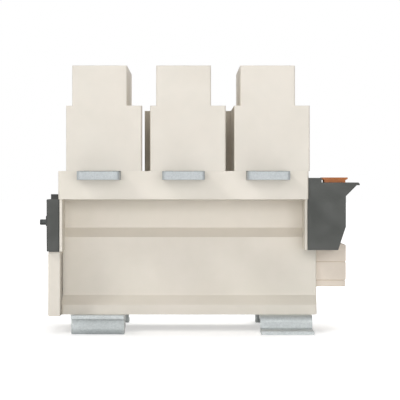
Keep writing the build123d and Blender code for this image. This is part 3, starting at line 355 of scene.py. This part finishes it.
class Bench:
    """A new material with its Principled shader, its object coordinates and its rounded normal."""

    def __init__(self, name: str, edge_radius: float) -> None:
        """Makes the material.

        Args:
            name: the material's name.
            edge_radius: how wide the sharp edges are rounded, in metres.
        """
        self.material = bpy.data.materials.new(name)
        self.sheet = blank_sheet(self.material)
        self.coordinates = self.sheet.add("ShaderNodeTexCoord").outputs["Object"]
        self.rounded = self.sheet.add("ShaderNodeBevel", {"Radius": edge_radius}, samples=6).outputs[0]
        self.shader = self.sheet.add("ShaderNodeBsdfPrincipled")
        self.sheet.add("ShaderNodeOutputMaterial", {0: self.shader.outputs[0]})

    def link(self, socket: Socket, name: str) -> None:
        """Feeds a socket into the shader's input of that name."""
        self.sheet.tree.links.new(socket, self.shader.inputs[name])

    def constant(self, name: str, value: float) -> None:
        """Sets a value on the shader's own socket."""
        self.shader.inputs[name].default_value = value

    def bump(self, height: Socket, depth: float) -> None:
        """Feeds a height, of which 1 stands for depth in metres, into the normal over the rounded edges."""
        values = {"Strength": 1.0, "Distance": depth, "Height": height, "Normal": self.rounded}
        self.link(self.sheet.add("ShaderNodeBump", values).outputs[0], "Normal")

    def place(self, effect: Effect, values: dict) -> Node:
        """Places a shared effect at the material's object coordinates."""
        return EFFECTS.place(self.sheet, effect, {"Vector": self.coordinates, **values})

    def clouds(self, light: Colour, dark: Colour, size: float) -> Socket:
        """Gives a colour that drifts between two, in clouds of a size in metres."""
        values = {"Light": opaque(light), "Dark": opaque(dark), "Size": size}
        return self.place(Effect.MOTTLE, values).outputs["Color"]

    def edges(self, size: float, share: float) -> Socket:
        """Gives a share of the edge mask, whose breaks have a size in metres."""
        mask = self.place(Effect.EDGE, {"Rounded": self.rounded, "Size": size}).outputs["Mask"]
        return self.sheet.math("MULTIPLY", mask, share)


class Side(Enum):
    """On which side of a plane across X a patch lies; the value is the test that finds it."""

    LEFT = "LESS_THAN"
    RIGHT = "GREATER_THAN"


@dataclass(frozen=True)
class Patch:
    """Pieces of a finish in another tone: those past a plane across X and above a level."""

    colour: Colour
    side: Side
    plane: float
    level: float
    share: float = 1.0

    def paint(self, bench: Bench, colour: Socket) -> Socket:
        """Tones a colour there.

        Args:
            bench: the material's bench.
            colour: the colour so far.

        Returns:
            The colour with the patch in it.
        """
        sheet = bench.sheet
        place = sheet.add("ShaderNodeSeparateXYZ", {0: bench.coordinates}).outputs
        past = sheet.math(self.side.value, place[0], self.plane)
        above = sheet.math("GREATER_THAN", place[2], self.level)
        share = sheet.math("MULTIPLY", sheet.math("MULTIPLY", past, above), self.share)
        return sheet.mix(share, colour, self.colour)


@dataclass(frozen=True)
class Moulded:
    """A moulded plastic: drifting colour, moulding grain, and an edge tone painted along its sharp edges, a
    painted highlight where that tone is lighter.
    """

    light: Colour
    dark: Colour
    edge: Colour
    roughness: float
    rough_swing: float = 0.06
    cloud_size: float = 70 * MM
    grain_size: float = 0.9 * MM
    grain_depth: float = 0.03 * MM
    edge_radius: float = 0.5 * MM
    edge_share: float = 0.4
    edge_break: float = 14 * MM
    patch: Patch | None = None

    def material(self, name: str) -> Material:
        """Builds the material.

        Args:
            name: the material's name.

        Returns:
            The material.
        """
        bench = Bench(name, self.edge_radius)
        clouds = bench.clouds(self.light, self.dark, self.cloud_size)
        # Painted highlight: the sharp edges are painted in the edge tone, which is lighter than the body on
        # most finishes.
        colour = bench.sheet.mix(bench.edges(self.edge_break, self.edge_share), clouds, self.edge)
        bench.link(self.patch.paint(bench, colour) if self.patch else colour, "Base Color")
        grain = bench.place(Effect.GRAIN, {"Size": self.grain_size}).outputs
        smooth = self.roughness - self.rough_swing
        rough = self.roughness + self.rough_swing
        bench.link(bench.sheet.ramp(grain["Rough"], NOISE_LOW, NOISE_HIGH, smooth, rough), "Roughness")
        bench.bump(grain["Height"], self.grain_depth)
        return bench.material


@dataclass(frozen=True)
class Galvanised:
    """Zinc on steel or tin on copper: crystals, speckle and a dull shine."""

    light: Colour
    dark: Colour
    metallic: float
    crystal: float
    speck_depth: float = 0.02 * MM
    edge_radius: float = 0.5 * MM
    edge_share: float = 0.5
    edge_break: float = 6 * MM

    def material(self, name: str) -> Material:
        """Builds the material.

        Args:
            name: the material's name.

        Returns:
            The material.
        """
        bench = Bench(name, self.edge_radius)
        values = {"Light": opaque(self.light), "Dark": opaque(self.dark), "Size": self.crystal}
        zinc = bench.place(Effect.SPANGLE, values).outputs
        worn = bench.edges(self.edge_break, self.edge_share)
        bench.link(bench.sheet.mix(worn, zinc["Color"], self.light), "Base Color")
        bench.link(zinc["Rough"], "Roughness")
        bench.constant("Metallic", self.metallic)
        bench.bump(zinc["Height"], self.speck_depth)
        return bench.material


@dataclass(frozen=True)
class DrawnMetal:
    """A plain metal with fine drawn or ground lines and a slow stain."""

    light: Colour
    dark: Colour
    roughness: float
    smoother: float = 0.08
    rougher: float = 0.12
    stretch: Point = (1.0, 0.06, 1.0)
    line: float = 0.25 * MM
    line_depth: float = 0.008 * MM
    stain_size: float = 20 * MM
    edge_radius: float = 0.3 * MM
    edge_share: float = 0.6
    edge_break: float = 4 * MM

    def material(self, name: str) -> Material:
        """Builds the material.

        Args:
            name: the material's name.

        Returns:
            The material.
        """
        bench = Bench(name, self.edge_radius)
        lines = bench.place(Effect.BRUSH, {"Stretch": self.stretch, "Size": self.line}).outputs["Lines"]
        stain = bench.clouds(self.light, self.dark, self.stain_size)
        worn = bench.edges(self.edge_break, self.edge_share)
        bench.link(bench.sheet.mix(worn, stain, self.light), "Base Color")
        smooth = self.roughness - self.smoother
        rough = self.roughness + self.rougher
        bench.link(bench.sheet.ramp(lines, NOISE_LOW, NOISE_HIGH, smooth, rough), "Roughness")
        bench.constant("Metallic", 1.0)
        bench.bump(lines, self.line_depth)
        return bench.material


@dataclass(frozen=True)
class Laminated:
    """A stack of oiled steel sheets seen on its edges."""

    light: Colour
    dark: Colour
    joint: Colour = srgb(30, 28, 26)
    joint_share: float = 0.75
    joint_depth: float = 0.06 * MM
    pitch: float = 0.65 * MM
    smooth: float = 0.34
    rough: float = 0.52
    metallic: float = 0.9
    edge_radius: float = 0.4 * MM

    def material(self, name: str) -> Material:
        """Builds the material.

        Args:
            name: the material's name.

        Returns:
            The material.
        """
        bench = Bench(name, self.edge_radius)
        sheet = bench.sheet
        stack = bench.place(Effect.STACK, {"Pitch": self.pitch}).outputs
        tone = sheet.mix(stack["Tone"], self.dark, self.light)
        joint = sheet.math("MULTIPLY", stack["Joint"], self.joint_share)
        bench.link(sheet.mix(joint, tone, self.joint), "Base Color")
        bench.link(sheet.ramp(stack["Tone"], 0.0, 1.0, self.smooth, self.rough), "Roughness")
        bench.constant("Metallic", self.metallic)
        bench.bump(sheet.math("SUBTRACT", 1.0, stack["Joint"]), self.joint_depth)
        return bench.material


Finish = Moulded | Galvanised | DrawnMetal | Laminated

# In each moulded finish, edge is the tone painted along sharp edges: a painted highlight where it is lighter.
# Past the right end of the housing lies the coil terminal box, in a warmer cream.
CREAM = Moulded(
    light=srgb(235, 228, 217),
    dark=srgb(231, 225, 213),
    edge=srgb(243, 238, 229),
    roughness=0.55,
    patch=Patch(srgb(231, 216, 200), Side.RIGHT, plane=120.4 * MM, level=0.0, share=0.7),
)
CHUTE_CREAM = Moulded(
    light=srgb(231, 224, 213),
    dark=srgb(227, 221, 210),
    edge=srgb(240, 236, 227),
    roughness=0.5,
)
# The patch paints the tab on top of the guide cover in a much darker tone.
DARK = Moulded(
    light=srgb(68, 70, 67),
    dark=srgb(65, 67, 64),
    edge=srgb(54, 55, 52),
    roughness=0.6,
    grain_size=0.6 * MM,
    edge_radius=0.35 * MM,
    patch=Patch(srgb(24, 25, 22), Side.LEFT, plane=-128 * MM, level=128.2 * MM),
)
BLACK = Moulded(
    light=srgb(46, 46, 47),
    dark=srgb(36, 36, 38),
    edge=srgb(70, 70, 71),
    roughness=0.45,
    grain_size=0.6 * MM,
)
ORANGE = Moulded(
    light=srgb(176, 98, 20),
    dark=srgb(156, 84, 16),
    edge=srgb(206, 134, 58),
    roughness=0.5,
    edge_radius=0.4 * MM,
)
FIBRE = Moulded(
    light=srgb(176, 146, 112),
    dark=srgb(150, 118, 86),
    edge=srgb(196, 170, 138),
    roughness=0.7,
    grain_size=0.5 * MM,
)
WINDING = Moulded(
    light=srgb(150, 92, 44),
    dark=srgb(120, 66, 30),
    edge=srgb(196, 132, 74),
    roughness=0.28,
    edge_radius=0.1 * MM,
)
RUBBER = Moulded(light=srgb(38, 38, 38), dark=srgb(30, 30, 30), edge=srgb(54, 54, 54), roughness=0.8)
ZINC = Galvanised(light=srgb(202, 207, 207), dark=srgb(174, 180, 181), metallic=0.2, crystal=1.2 * MM)
TINNED = Galvanised(light=srgb(184, 189, 191), dark=srgb(150, 156, 158), metallic=0.2, crystal=0.9 * MM)
GROUND_PIN = DrawnMetal(light=srgb(92, 95, 94), dark=srgb(74, 76, 76), roughness=0.5, stretch=(0.06, 1, 1))

FINISHES: dict[str, Finish] = {
    "cream": CREAM,
    "chute_cream": CHUTE_CREAM,
    "dark": DARK,
    "black": BLACK,
    "orange": ORANGE,
    "fibre": FIBRE,
    "winding": WINDING,
    "buffer_rubber": RUBBER,
    "galvanised": ZINC,
    "plated_copper": TINNED,
    "copper": DrawnMetal(light=srgb(226, 150, 112), dark=srgb(200, 120, 84), roughness=0.3),
    "silver_tip": DrawnMetal(light=srgb(226, 226, 224), dark=srgb(196, 195, 192), roughness=0.4),
    "arc_steel": DrawnMetal(light=srgb(190, 192, 194), dark=srgb(160, 162, 165), roughness=0.38),
    "zinc_screw": DrawnMetal(light=srgb(208, 210, 208), dark=srgb(176, 178, 176), roughness=0.34),
    "steel_pin": GROUND_PIN,
    "spring_steel": DrawnMetal(light=srgb(150, 151, 154), dark=srgb(112, 113, 116), roughness=0.3),
    "brass": DrawnMetal(light=srgb(226, 198, 128), dark=srgb(200, 168, 96), roughness=0.28),
    "laminated_steel": Laminated(light=srgb(156, 158, 160), dark=srgb(118, 120, 122)),
}


class Wardrobe:
    """The finished materials by the record's slot, each built once."""

    def __init__(self) -> None:
        """Starts with nothing made."""
        self.made: dict[str, Material] = {}

    def get(self, slot: str) -> Material:
        """Gives a slot's material.

        Args:
            slot: the record's slot.

        Returns:
            The material.
        """
        if slot not in self.made:
            self.made[slot] = FINISHES[slot].material(f"finish_{slot}")
        return self.made[slot]

    def dress_nodes(self) -> int:
        """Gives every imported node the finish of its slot.

        Returns:
            How many nodes were dressed.
        """
        for part in frame["record"]["subparts"]:
            node = frame["nodes"][part["node"]]
            for place in node.material_slots:
                place.material = self.get(part["material_slot"])
        return len(frame["record"]["subparts"])


WARDROBE = Wardrobe()


def ring_faces(rings: int, sides: int) -> np.ndarray:
    """Joins rings of points into quads, each ring with the next one.

    Args:
        rings: how many rings there are.
        sides: how many points in a ring.

    Returns:
        One row of four point numbers for each quad.
    """
    ring, side = np.meshgrid(np.arange(rings - 1), np.arange(sides), indexing="ij")
    after = (side + 1) % sides
    first = ring * sides
    second = (ring + 1) * sides
    corners = [first + side, first + after, second + after, second + side]
    return np.stack(corners, axis=-1).reshape(-1, 4)


@dataclass
class Piece:
    """One new piece: its points and quads, before it becomes a mesh."""

    name: str
    points: list[np.ndarray]
    quads: list[np.ndarray]

    @classmethod
    def empty(cls, name: str) -> "Piece":
        """Starts a piece with nothing in it."""
        return cls(name, [], [])

    def add(self, points: np.ndarray, quads: np.ndarray) -> None:
        """Adds a surface: its points, one row each, and its faces, numbered within those points."""
        self.quads.append(quads + sum(len(p) for p in self.points))
        self.points.append(points)

    def build(self, slot: str, body: str, *nodes: str) -> bpy.types.Object:
        """Makes the mesh, dresses it and puts it on its body.

        Args:
            slot: the record's slot that it takes its finish from.
            body: the body that it rides on.
            nodes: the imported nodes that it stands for.

        Returns:
            The new object.
        """
        mesh = bpy.data.meshes.new(self.name)
        mesh.from_pydata(np.vstack(self.points).tolist(), [], np.vstack(self.quads).tolist())
        mesh.validate()
        mesh.shade_smooth()
        mesh.set_sharp_from_angle(angle=SHARP_ANGLE)
        obj = bpy.data.objects.new(self.name, mesh)
        bpy.context.scene.collection.objects.link(obj)
        obj.data.materials.append(WARDROBE.get(slot))
        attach(obj, body)
        if nodes:
            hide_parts(*nodes)
        return obj


def solid_boxes(node: str) -> list[Limits]:
    """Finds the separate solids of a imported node.

    Points at one place, to a tenth of a micrometre, are one point. Each point starts with its own number and
    takes the lowest number of the triangles that it is in, over and over, until no number changes.

    Args:
        node: the node's name.

    Returns:
        The lowest and highest corner of each solid, in the order of their lowest X and then Y.
    """
    place_decimals = 7
    row_decimals = 4
    mesh = frame["nodes"][node].data
    places = np.empty(len(mesh.vertices) * 3)
    mesh.vertices.foreach_get("co", places)
    places = places.reshape(-1, 3)
    corners = np.empty(len(mesh.loops), dtype=np.int64)
    mesh.loops.foreach_get("vertex_index", corners)
    _, merged = np.unique(np.round(places, place_decimals), axis=0, return_inverse=True)
    triangles = merged.reshape(-1)[corners].reshape(-1, 3)
    label = np.arange(merged.max() + 1)
    while True:
        lowest = label[triangles].min(axis=1)
        fresh = label.copy()
        for side in range(3):
            np.minimum.at(fresh, triangles[:, side], lowest)
        if np.array_equal(fresh, label):
            break
        label = fresh
    owner = label[merged.reshape(-1)]
    boxes = [(places[owner == key].min(axis=0), places[owner == key].max(axis=0)) for key in np.unique(owner)]
    return sorted(boxes, key=lambda box: tuple(np.round(box[0][:2], row_decimals)))


def turned(profile: np.ndarray, sides: int, hexagon: np.ndarray, start: float) -> Surface:
    """Turns a profile about its own Z axis.

    A point at radius r and height z goes to (r cos a, r sin a, z) for each angle a. Where hexagon is 1 the
    ring is six-sided: its radius at angle a is the profile's, which reaches to the middle of a flat, divided
    by the cosine of the angle from the middle of the nearest flat.

    Args:
        profile: one (radius, height) row for each ring.
        sides: how many points in a ring.
        hexagon: 1 for a six-sided ring and 0 for a round one.
        start: the angle of the middle of the first flat.

    Returns:
        The points and the quads.
    """
    angle = np.linspace(0, 2 * np.pi, sides, endpoint=False)
    off_flat = (angle - start + HALF_FLAT) % (2 * HALF_FLAT) - HALF_FLAT
    flat = 1 / np.cos(off_flat)
    reach = np.where(hexagon[:, None] > 0, flat[None, :], 1.0) * profile[:, :1]
    height = np.repeat(profile[:, 1:], sides, axis=1)
    points = np.stack([reach * np.cos(angle), reach * np.sin(angle), height], axis=-1)
    return points.reshape(-1, 3), ring_faces(len(profile), sides)


def tube(path: np.ndarray, across: np.ndarray, radius: float, sides: int) -> Surface:
    """Carries a circle along a path.

    Each ring is the path's point plus radius times (cos a across + sin a along the third direction), where
    the third direction is at right angles to the path and to across. Two rings of no radius close the ends.

    Args:
        path: the path's points.
        across: a unit direction at right angles to the path, one for each point.
        radius: the tube's radius.
        sides: how many points in a ring.

    Returns:
        The points and the quads.
    """
    ahead = np.gradient(path, axis=0)
    ahead /= np.linalg.norm(ahead, axis=1, keepdims=True)
    third = np.cross(ahead, across)
    angle = np.linspace(0, 2 * np.pi, sides, endpoint=False)
    ring = across[:, None] * np.cos(angle)[None, :, None] + third[:, None] * np.sin(angle)[None, :, None]
    ends = np.repeat(path[[0, -1], None], sides, axis=1)
    rings = np.concatenate([ends[:1], path[:, None] + radius * ring, ends[1:]])
    return rings.reshape(-1, 3), ring_faces(len(rings), sides)


@dataclass
class CoilSpring:
    """A compression spring with a closed, flat turn at each end."""

    name: str
    wire: float
    turns: float
    steps: int = 26
    sides: int = 10

    def surface(self, box: Limits) -> Surface:
        """Works out the spring that fills a box.

        The path is a circle of the box's width, less the wire, whose height rises by one wire's thickness
        over each end turn and evenly over the turns between them.

        Args:
            box: the lowest and highest corner that the spring reaches.

        Returns:
            The points and the quads.
        """
        low, high = box
        middle = (low + high) / 2
        radius = (high[0] - low[0]) / 2 - self.wire / 2
        turn = np.linspace(0, self.turns, int(self.turns * self.steps))
        first = low[2] + self.wire / 2
        last = high[2] - self.wire / 2
        levels = [0, self.wire, last - first - self.wire, last - first]
        rise = np.interp(turn, [0, 1, self.turns - 1, self.turns], levels)
        angle = 2 * np.pi * turn
        out = np.stack([np.cos(angle), np.sin(angle), np.zeros_like(angle)], axis=1)
        x = middle[0] + radius * out[:, 0]
        y = middle[1] + radius * out[:, 1]
        path = np.stack([x, y, first + rise], axis=1)
        return tube(path, out, self.wire / 2, self.sides)

    def build(self, node: str, body: str, joint: str, fixed_high: bool, keep: float) -> None:
        """Builds the springs of a node.

        Args:
            node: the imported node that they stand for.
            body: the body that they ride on.
            joint: the joint that would shorten them; not used.
            fixed_high: whether their upper end stays still on that body; not used.
            keep: their length at the joint's limit, as a share of that at rest; not used.
        """
        piece = Piece.empty(self.name)
        boxes = solid_boxes(node)
        for box in boxes:
            piece.add(*self.surface(box))
        obj = piece.build("spring_steel", body, node)
        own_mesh(obj)
        LOG.info("%s: %d springs", self.name, len(boxes))


class Facing(Enum):
    """The way a screw's head looks out."""

    UP = (0, 0, 1)
    DOWN = (0, 0, -1)
    LEFT = (-1, 0, 0)
    RIGHT = (1, 0, 0)


class Head(Enum):
    """What a screw is turned by."""

    SOCKET = "socket"
    HEXAGON = "hexagon"


@dataclass
class Screws:
    """Screws with a chamfered head and a shank whose ridges stand for its thread, one for two turns.

    The chamfer and the socket are shares of the head's radius, and the flat in the socket is a share of the
    socket's. The floor and the wall of the socket begin at shares of the head's height. The shoulder drops
    by a share of the chamfer. The grooves and the tip are shares of the shank's radius.
    """

    node: str
    head_height: float
    shank_share: float
    head_kind: Head = Head.SOCKET
    sides: int = 36
    thread_pitch: float = 0.8 * MM
    turns_per_ridge: int = 2
    least_ridges: int = 2
    groove_share: float = 0.1
    tip_share: float = 0.7
    chamfer_share: float = 0.07
    socket_share: float = 0.46
    flat_share: float = 0.6
    floor_level: float = 0.38
    wall_level: float = 0.45
    shoulder_share: float = 0.3

    def profile(self, head: float, shank: float, length: float) -> tuple[np.ndarray, np.ndarray]:
        """Lists the rings of a screw from the middle of its head's top to the tip.

        Args:
            head: the head's radius.
            shank: the shank's radius.
            length: the shank's length under the head.

        Returns:
            The rings as (radius, height) rows, and 1 for each six-sided ring.
        """
        top = self.head_height
        edge = head * self.chamfer_share
        if self.head_kind is Head.HEXAGON:
            flat = head * math.cos(HALF_FLAT)
            rings = [(0.0, top, 0), (flat - edge, top, 0), (flat, top - edge, 0), (flat, top - 3 * edge, 1)]
            rings += [(flat, edge, 1), (flat - edge / 2, 0.0, 1), (shank, 0.0, 0)]
        else:
            socket = head * self.socket_share
            floor = top * self.floor_level
            wall = top * self.wall_level
            shoulder = top - edge * self.shoulder_share
            rings = [(0.0, floor, 1), (socket * self.flat_share, floor, 1), (socket, wall, 1)]
            rings += [(socket, top - edge, 1), (socket + edge, top, 1), (head - 2 * edge, top, 0)]
            rings += [(head - edge, shoulder, 0), (head, top - edge, 0), (head, edge, 0)]
            rings += [(head - edge, 0.0, 0), (shank, 0.0, 0)]
        ridges = max(self.least_ridges, int(length / self.thread_pitch / self.turns_per_ridge))
        step = length / (2 * ridges)
        for ring in range(2 * ridges):
            groove = self.groove_share * shank if ring % 2 else 0.0
            rings.append((shank - groove, -step * (ring + 0.5), 0))
        rings += [(shank * self.tip_share, -length, 0), (0.0, -length, 0)]
        table = np.array(rings)
        return table[:, :2], table[:, 2]

    def surface(self, box: Limits, facing: Facing) -> Surface:
        """Works out the screw that fills a box.

        Args:
            box: the lowest and highest corner that the screw reaches.
            facing: the way its head looks out.

        Returns:
            The points and the quads.
        """
        low, high = box
        size = high - low
        middle = (low + high) / 2
        along = int(np.argmax(np.abs(facing.value)))
        side = 1 if along == 0 else 0
        head = size[side] / 2
        length = size[along] - self.head_height
        rings, hexagon = self.profile(head, head * self.shank_share, length)
        first_flat = HALF_FLAT if self.head_kind is Head.HEXAGON else 0.0
        points, quads = turned(rings, self.sides, hexagon, first_flat)
        out = np.array(facing.value, dtype=float)
        first = np.eye(3)[side]
        axes = np.stack([first, np.cross(out, first), out])
        seat = middle + out * (size[along] / 2 - self.head_height)
        return points @ axes + seat, quads[:, ::-1]

    def build(self, body: str, facing: Facing | None = None) -> None:
        """Builds every screw of the node as one piece.

        Args:
            body: the body that they ride on.
            facing: the way the heads look out, or nothing where each looks away from the middle along X.
        """
        piece = Piece.empty(f"{self.node}_detail")
        boxes = solid_boxes(self.node)
        for box in boxes:
            middle = (box[0][0] + box[1][0]) / 2
            piece.add(*self.surface(box, facing or (Facing.LEFT if middle < 0 else Facing.RIGHT)))
        piece.build("zinc_screw", body, self.node)
        LOG.info("%s: %d screws", self.node, len(boxes))


@dataclass
class Windings:
    """The two coil windings, with the turns of their outer layer standing out."""

    wire: float = 1.1 * MM
    depth: float = 9 * MM
    bluntness: float = 0.22
    around: int = 96
    per_turn: int = 4

    def surface(self, box: Limits) -> Surface:
        """Works out one winding's outer skin, its hole and its two ends.

        The section is a rounded rectangle: x and y go with the cosine and the sine of the angle, each raised
        to the power of the bluntness with its sign kept. At height z it stands in by half a wire times one
        minus the absolute sine of pi z over a turn's height, which draws one round crest for each turn.

        Args:
            box: the lowest and highest corner that the winding reaches.

        Returns:
            The points and the quads.
        """
        low, high = box
        middle = (low + high) / 2
        half = (high - low) / 2
        angle = np.linspace(0, 2 * np.pi, self.around, endpoint=False) + np.pi / self.around
        shape_x = np.sign(np.cos(angle)) * np.abs(np.cos(angle)) ** self.bluntness
        shape_y = np.sign(np.sin(angle)) * np.abs(np.sin(angle)) ** self.bluntness
        turns = int((high[2] - low[2]) / self.wire)
        height = np.linspace(low[2], high[2], turns * self.per_turn)
        inset = self.wire / 2 * (1 - np.abs(np.sin(np.pi * (height - low[2]) / (high[2] - low[2]) * turns)))
        x = middle[0] + (half[0] - inset)[:, None] * shape_x[None, :]
        y = middle[1] + (half[1] - inset)[:, None] * shape_y[None, :]
        z = np.repeat(height[:, None], self.around, axis=1)
        skin = np.stack([x, y, z], axis=-1)
        hole_x = middle[0] + (half[0] - self.depth) * shape_x
        hole_y = middle[1] + (half[1] - self.depth) * shape_y
        ends = (np.full(self.around, low[2]), np.full(self.around, high[2]))
        hole = [np.stack([hole_x, hole_y, level], axis=-1) for level in ends]
        rings = np.concatenate([hole[:1], skin, hole[1:], hole[:1]])
        return rings.reshape(-1, 3), ring_faces(len(rings), self.around)

    def build(self) -> None:
        """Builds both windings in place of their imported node."""
        piece = Piece.empty("coil_turns")
        boxes = solid_boxes("coil_windings")
        for box in boxes:
            piece.add(*self.surface(box))
        piece.build("winding", "base", "coil_windings")
        LOG.info("windings: %d", len(boxes))


@dataclass(frozen=True)
class AreaLamp:
    """A soft square lamp that looks at the contactor."""

    name: str
    place: Point
    size: float
    watts: float
    colour: Colour = (1.0, 1.0, 1.0)
    target: Point = (0.0, 0.0, 0.12)

    def build(self) -> None:
        """Adds the lamp to the scene."""
        data = bpy.data.lights.new(self.name, "AREA")
        data.shape = "SQUARE"
        data.size = self.size
        data.energy = self.watts
        data.color = self.colour
        lamp = bpy.data.objects.new(self.name, data)
        lamp.location = self.place
        lamp.rotation_euler = (Vector(self.target) - Vector(self.place)).to_track_quat("-Z", "Y").to_euler()
        bpy.context.scene.collection.objects.link(lamp)


@dataclass
class Studio:
    """The floor, the white surroundings and the lamps."""

    lamps: tuple[AreaLamp, ...] = (
        AreaLamp("key_lamp", place=(-1.9, -1.9, 2.1), size=0.6, watts=21.0, colour=(1.0, 0.985, 0.965)),
        AreaLamp("low_lamp", place=(0.2, -2.9, 0.05), size=1.5, watts=53.0),
        AreaLamp("side_lamp", place=(-1.6, -2.4, 0.12), size=1.4, watts=8.0),
        AreaLamp("back_lamp", place=(0.9, 2.2, 2.0), size=1.6, watts=36.0),
        AreaLamp("top_lamp", place=(0.0, 0.5, 2.8), size=2.0, watts=29.0),
    )
    sky: float = 0.25
    floor_size: float = 30.0
    floor_tone: Colour = (0.86, 0.86, 0.86)
    near_glow: float = 0.5
    far_glow: float = 0.95
    glow_start: float = 0.3
    glow_end: float = 1.3

    def build(self) -> None:
        """Builds the surroundings and lights them."""
        for lamp in self.lamps:
            lamp.build()
        self._world()
        self._floor()
        bpy.context.scene.view_settings.view_transform = "Standard"
        LOG.info("studio: %d lamps", len(self.lamps))

    @staticmethod
    def _seen(sheet: Sheet) -> Socket:
        """Tells what is looked at from what only lights the contactor.

        Args:
            sheet: the node tree to add the test to.

        Returns:
            1 for what the camera sees, also in gloss and through glass, and 0 for the rest.
        """
        path = sheet.add("ShaderNodeLightPath").outputs
        through = sheet.math("MAXIMUM", path["Is Camera Ray"], path["Is Transmission Ray"])
        return sheet.math("MAXIMUM", through, path["Is Glossy Ray"])

    def _world(self) -> None:
        """Makes a plain sky that looks white to the camera, in gloss and through glass."""
        world = bpy.data.worlds.new("white_room")
        bpy.context.scene.world = world
        sheet = blank_sheet(world)
        strength = sheet.ramp(self._seen(sheet), 0.0, 1.0, self.sky, 1.0)
        back = sheet.add("ShaderNodeBackground", {"Color": (1, 1, 1, 1), "Strength": strength})
        sheet.add("ShaderNodeOutputWorld", {0: back.outputs[0]})

    def _floor(self) -> None:
        """Makes the pale floor, which keeps the contactor's shadow near it and is white farther out.

        The floor's own glow rises with the distance from the middle, because the lamps light it less and less
        there.
        """
        half = self.floor_size / 2
        corners = [(-half, -half, 0), (half, -half, 0), (half, half, 0), (-half, half, 0)]
        mesh = bpy.data.meshes.new("floor")
        mesh.from_pydata(corners, [], [(0, 1, 2, 3)])
        floor = bpy.data.objects.new("floor", mesh)
        bpy.context.scene.collection.objects.link(floor)
        material = bpy.data.materials.new("pale_floor")
        sheet = blank_sheet(material)
        seen = self._seen(sheet)
        diffuse = sheet.add("ShaderNodeBsdfDiffuse", {"Color": opaque(self.floor_tone)})
        place = sheet.add("ShaderNodeTexCoord").outputs["Object"]
        distance = sheet.add("ShaderNodeVectorMath", {0: place}, operation="LENGTH").outputs["Value"]
        rising = sheet.ramp(distance, self.glow_start, self.glow_end, self.near_glow, self.far_glow)
        glow = sheet.add("ShaderNodeEmission", {"Strength": sheet.math("MULTIPLY", seen, rising)})
        both = sheet.add("ShaderNodeAddShader", {0: diffuse.outputs[0], 1: glow.outputs[0]})
        sheet.add("ShaderNodeOutputMaterial", {0: both.outputs[0]})
        mesh.materials.append(material)


@dataclass(frozen=True)
class PhotoView:
    """The photograph's camera: level, square on to the line terminals."""

    place: Point = (-0.0044, -2.588, 0.1455)
    focal_mm: float = 234.4
    sensor_mm: float = 36.0
    shift_x: float = 0.03
    shift_y: float = -0.0475
    sight: float = 100.0

    def build(self) -> None:
        """Adds the camera and makes it the scene's own."""
        data = bpy.data.cameras.new("photo_camera")
        data.lens = self.focal_mm
        data.sensor_width = self.sensor_mm
        data.shift_x = self.shift_x
        data.shift_y = self.shift_y
        data.clip_end = self.sight
        camera = bpy.data.objects.new("photo_camera", data)
        camera.location = self.place
        camera.rotation_euler = (math.pi / 2, 0.0, 0.0)
        bpy.context.scene.collection.objects.link(camera)
        bpy.context.scene.camera = camera
        LOG.info("camera placed")


@dataclass
class MovingSystem:
    """The springs of the crossbar and of the three contact bridges."""

    return_wire: float = 2.2 * MM
    contact_wire: float = 2.2 * MM
    return_turns: float = 9.0
    contact_turns: float = 4.5
    return_keep: float = 44.0 / 56.0
    contact_keep: float = 14.0 / 17.0

    def build(self) -> None:
        """Builds the springs."""
        springs = CoilSpring("return_coils", self.return_wire, self.return_turns)
        springs.build("return_springs", "base", "carrier_slide", fixed_high=False, keep=self.return_keep)
        for pole in POLES:
            spring = CoilSpring(f"contact_coil_{pole}", self.contact_wire, self.contact_turns)
            joint = f"bridge_{pole}_overtravel"
            spring.build(f"contact_spring_{pole}", "carrier", joint, fixed_high=True, keep=self.contact_keep)


@dataclass
class Fasteners:
    """Six groups of screws; a share is a shank's radius over its head's."""

    m6_head: float = 4.0 * MM
    m5_head: float = 4.0 * MM
    m4_head: float = 2.4 * MM
    armature_head: float = 3.0 * MM
    m6_share: float = 3.0 / 5.0
    m5_share: float = 2.5 / 4.5
    m4_share: float = 2.0 / 3.8

    def build(self) -> None:
        """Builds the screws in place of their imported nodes."""
        Screws("chute_screws", self.m5_head, self.m5_share).build("base", Facing.UP)
        Screws("block_screws", self.m5_head, self.m5_share).build("base", Facing.UP)
        Screws("bracket_screws", self.m6_head, self.m6_share, Head.HEXAGON).build("base", Facing.DOWN)
        Screws("bar_screws", self.m6_head, self.m6_share, Head.HEXAGON).build("base", Facing.UP)
        Screws("armature_screws", self.armature_head, self.m6_share, Head.HEXAGON).build("carrier", Facing.UP)
        Screws("side_screws", self.m4_head, self.m4_share).build("base")


def main() -> None:
    """Builds the camera, the studio, the finishes and the fine pieces in order."""
    logging.basicConfig(level=logging.INFO, format="%(message)s")
    PhotoView().build()
    Studio().build()
    LOG.info("nodes dressed: %d", WARDROBE.dress_nodes())
    MovingSystem().build()
    Fasteners().build()
    Windings().build()


if __name__ == "__main__":
    main()
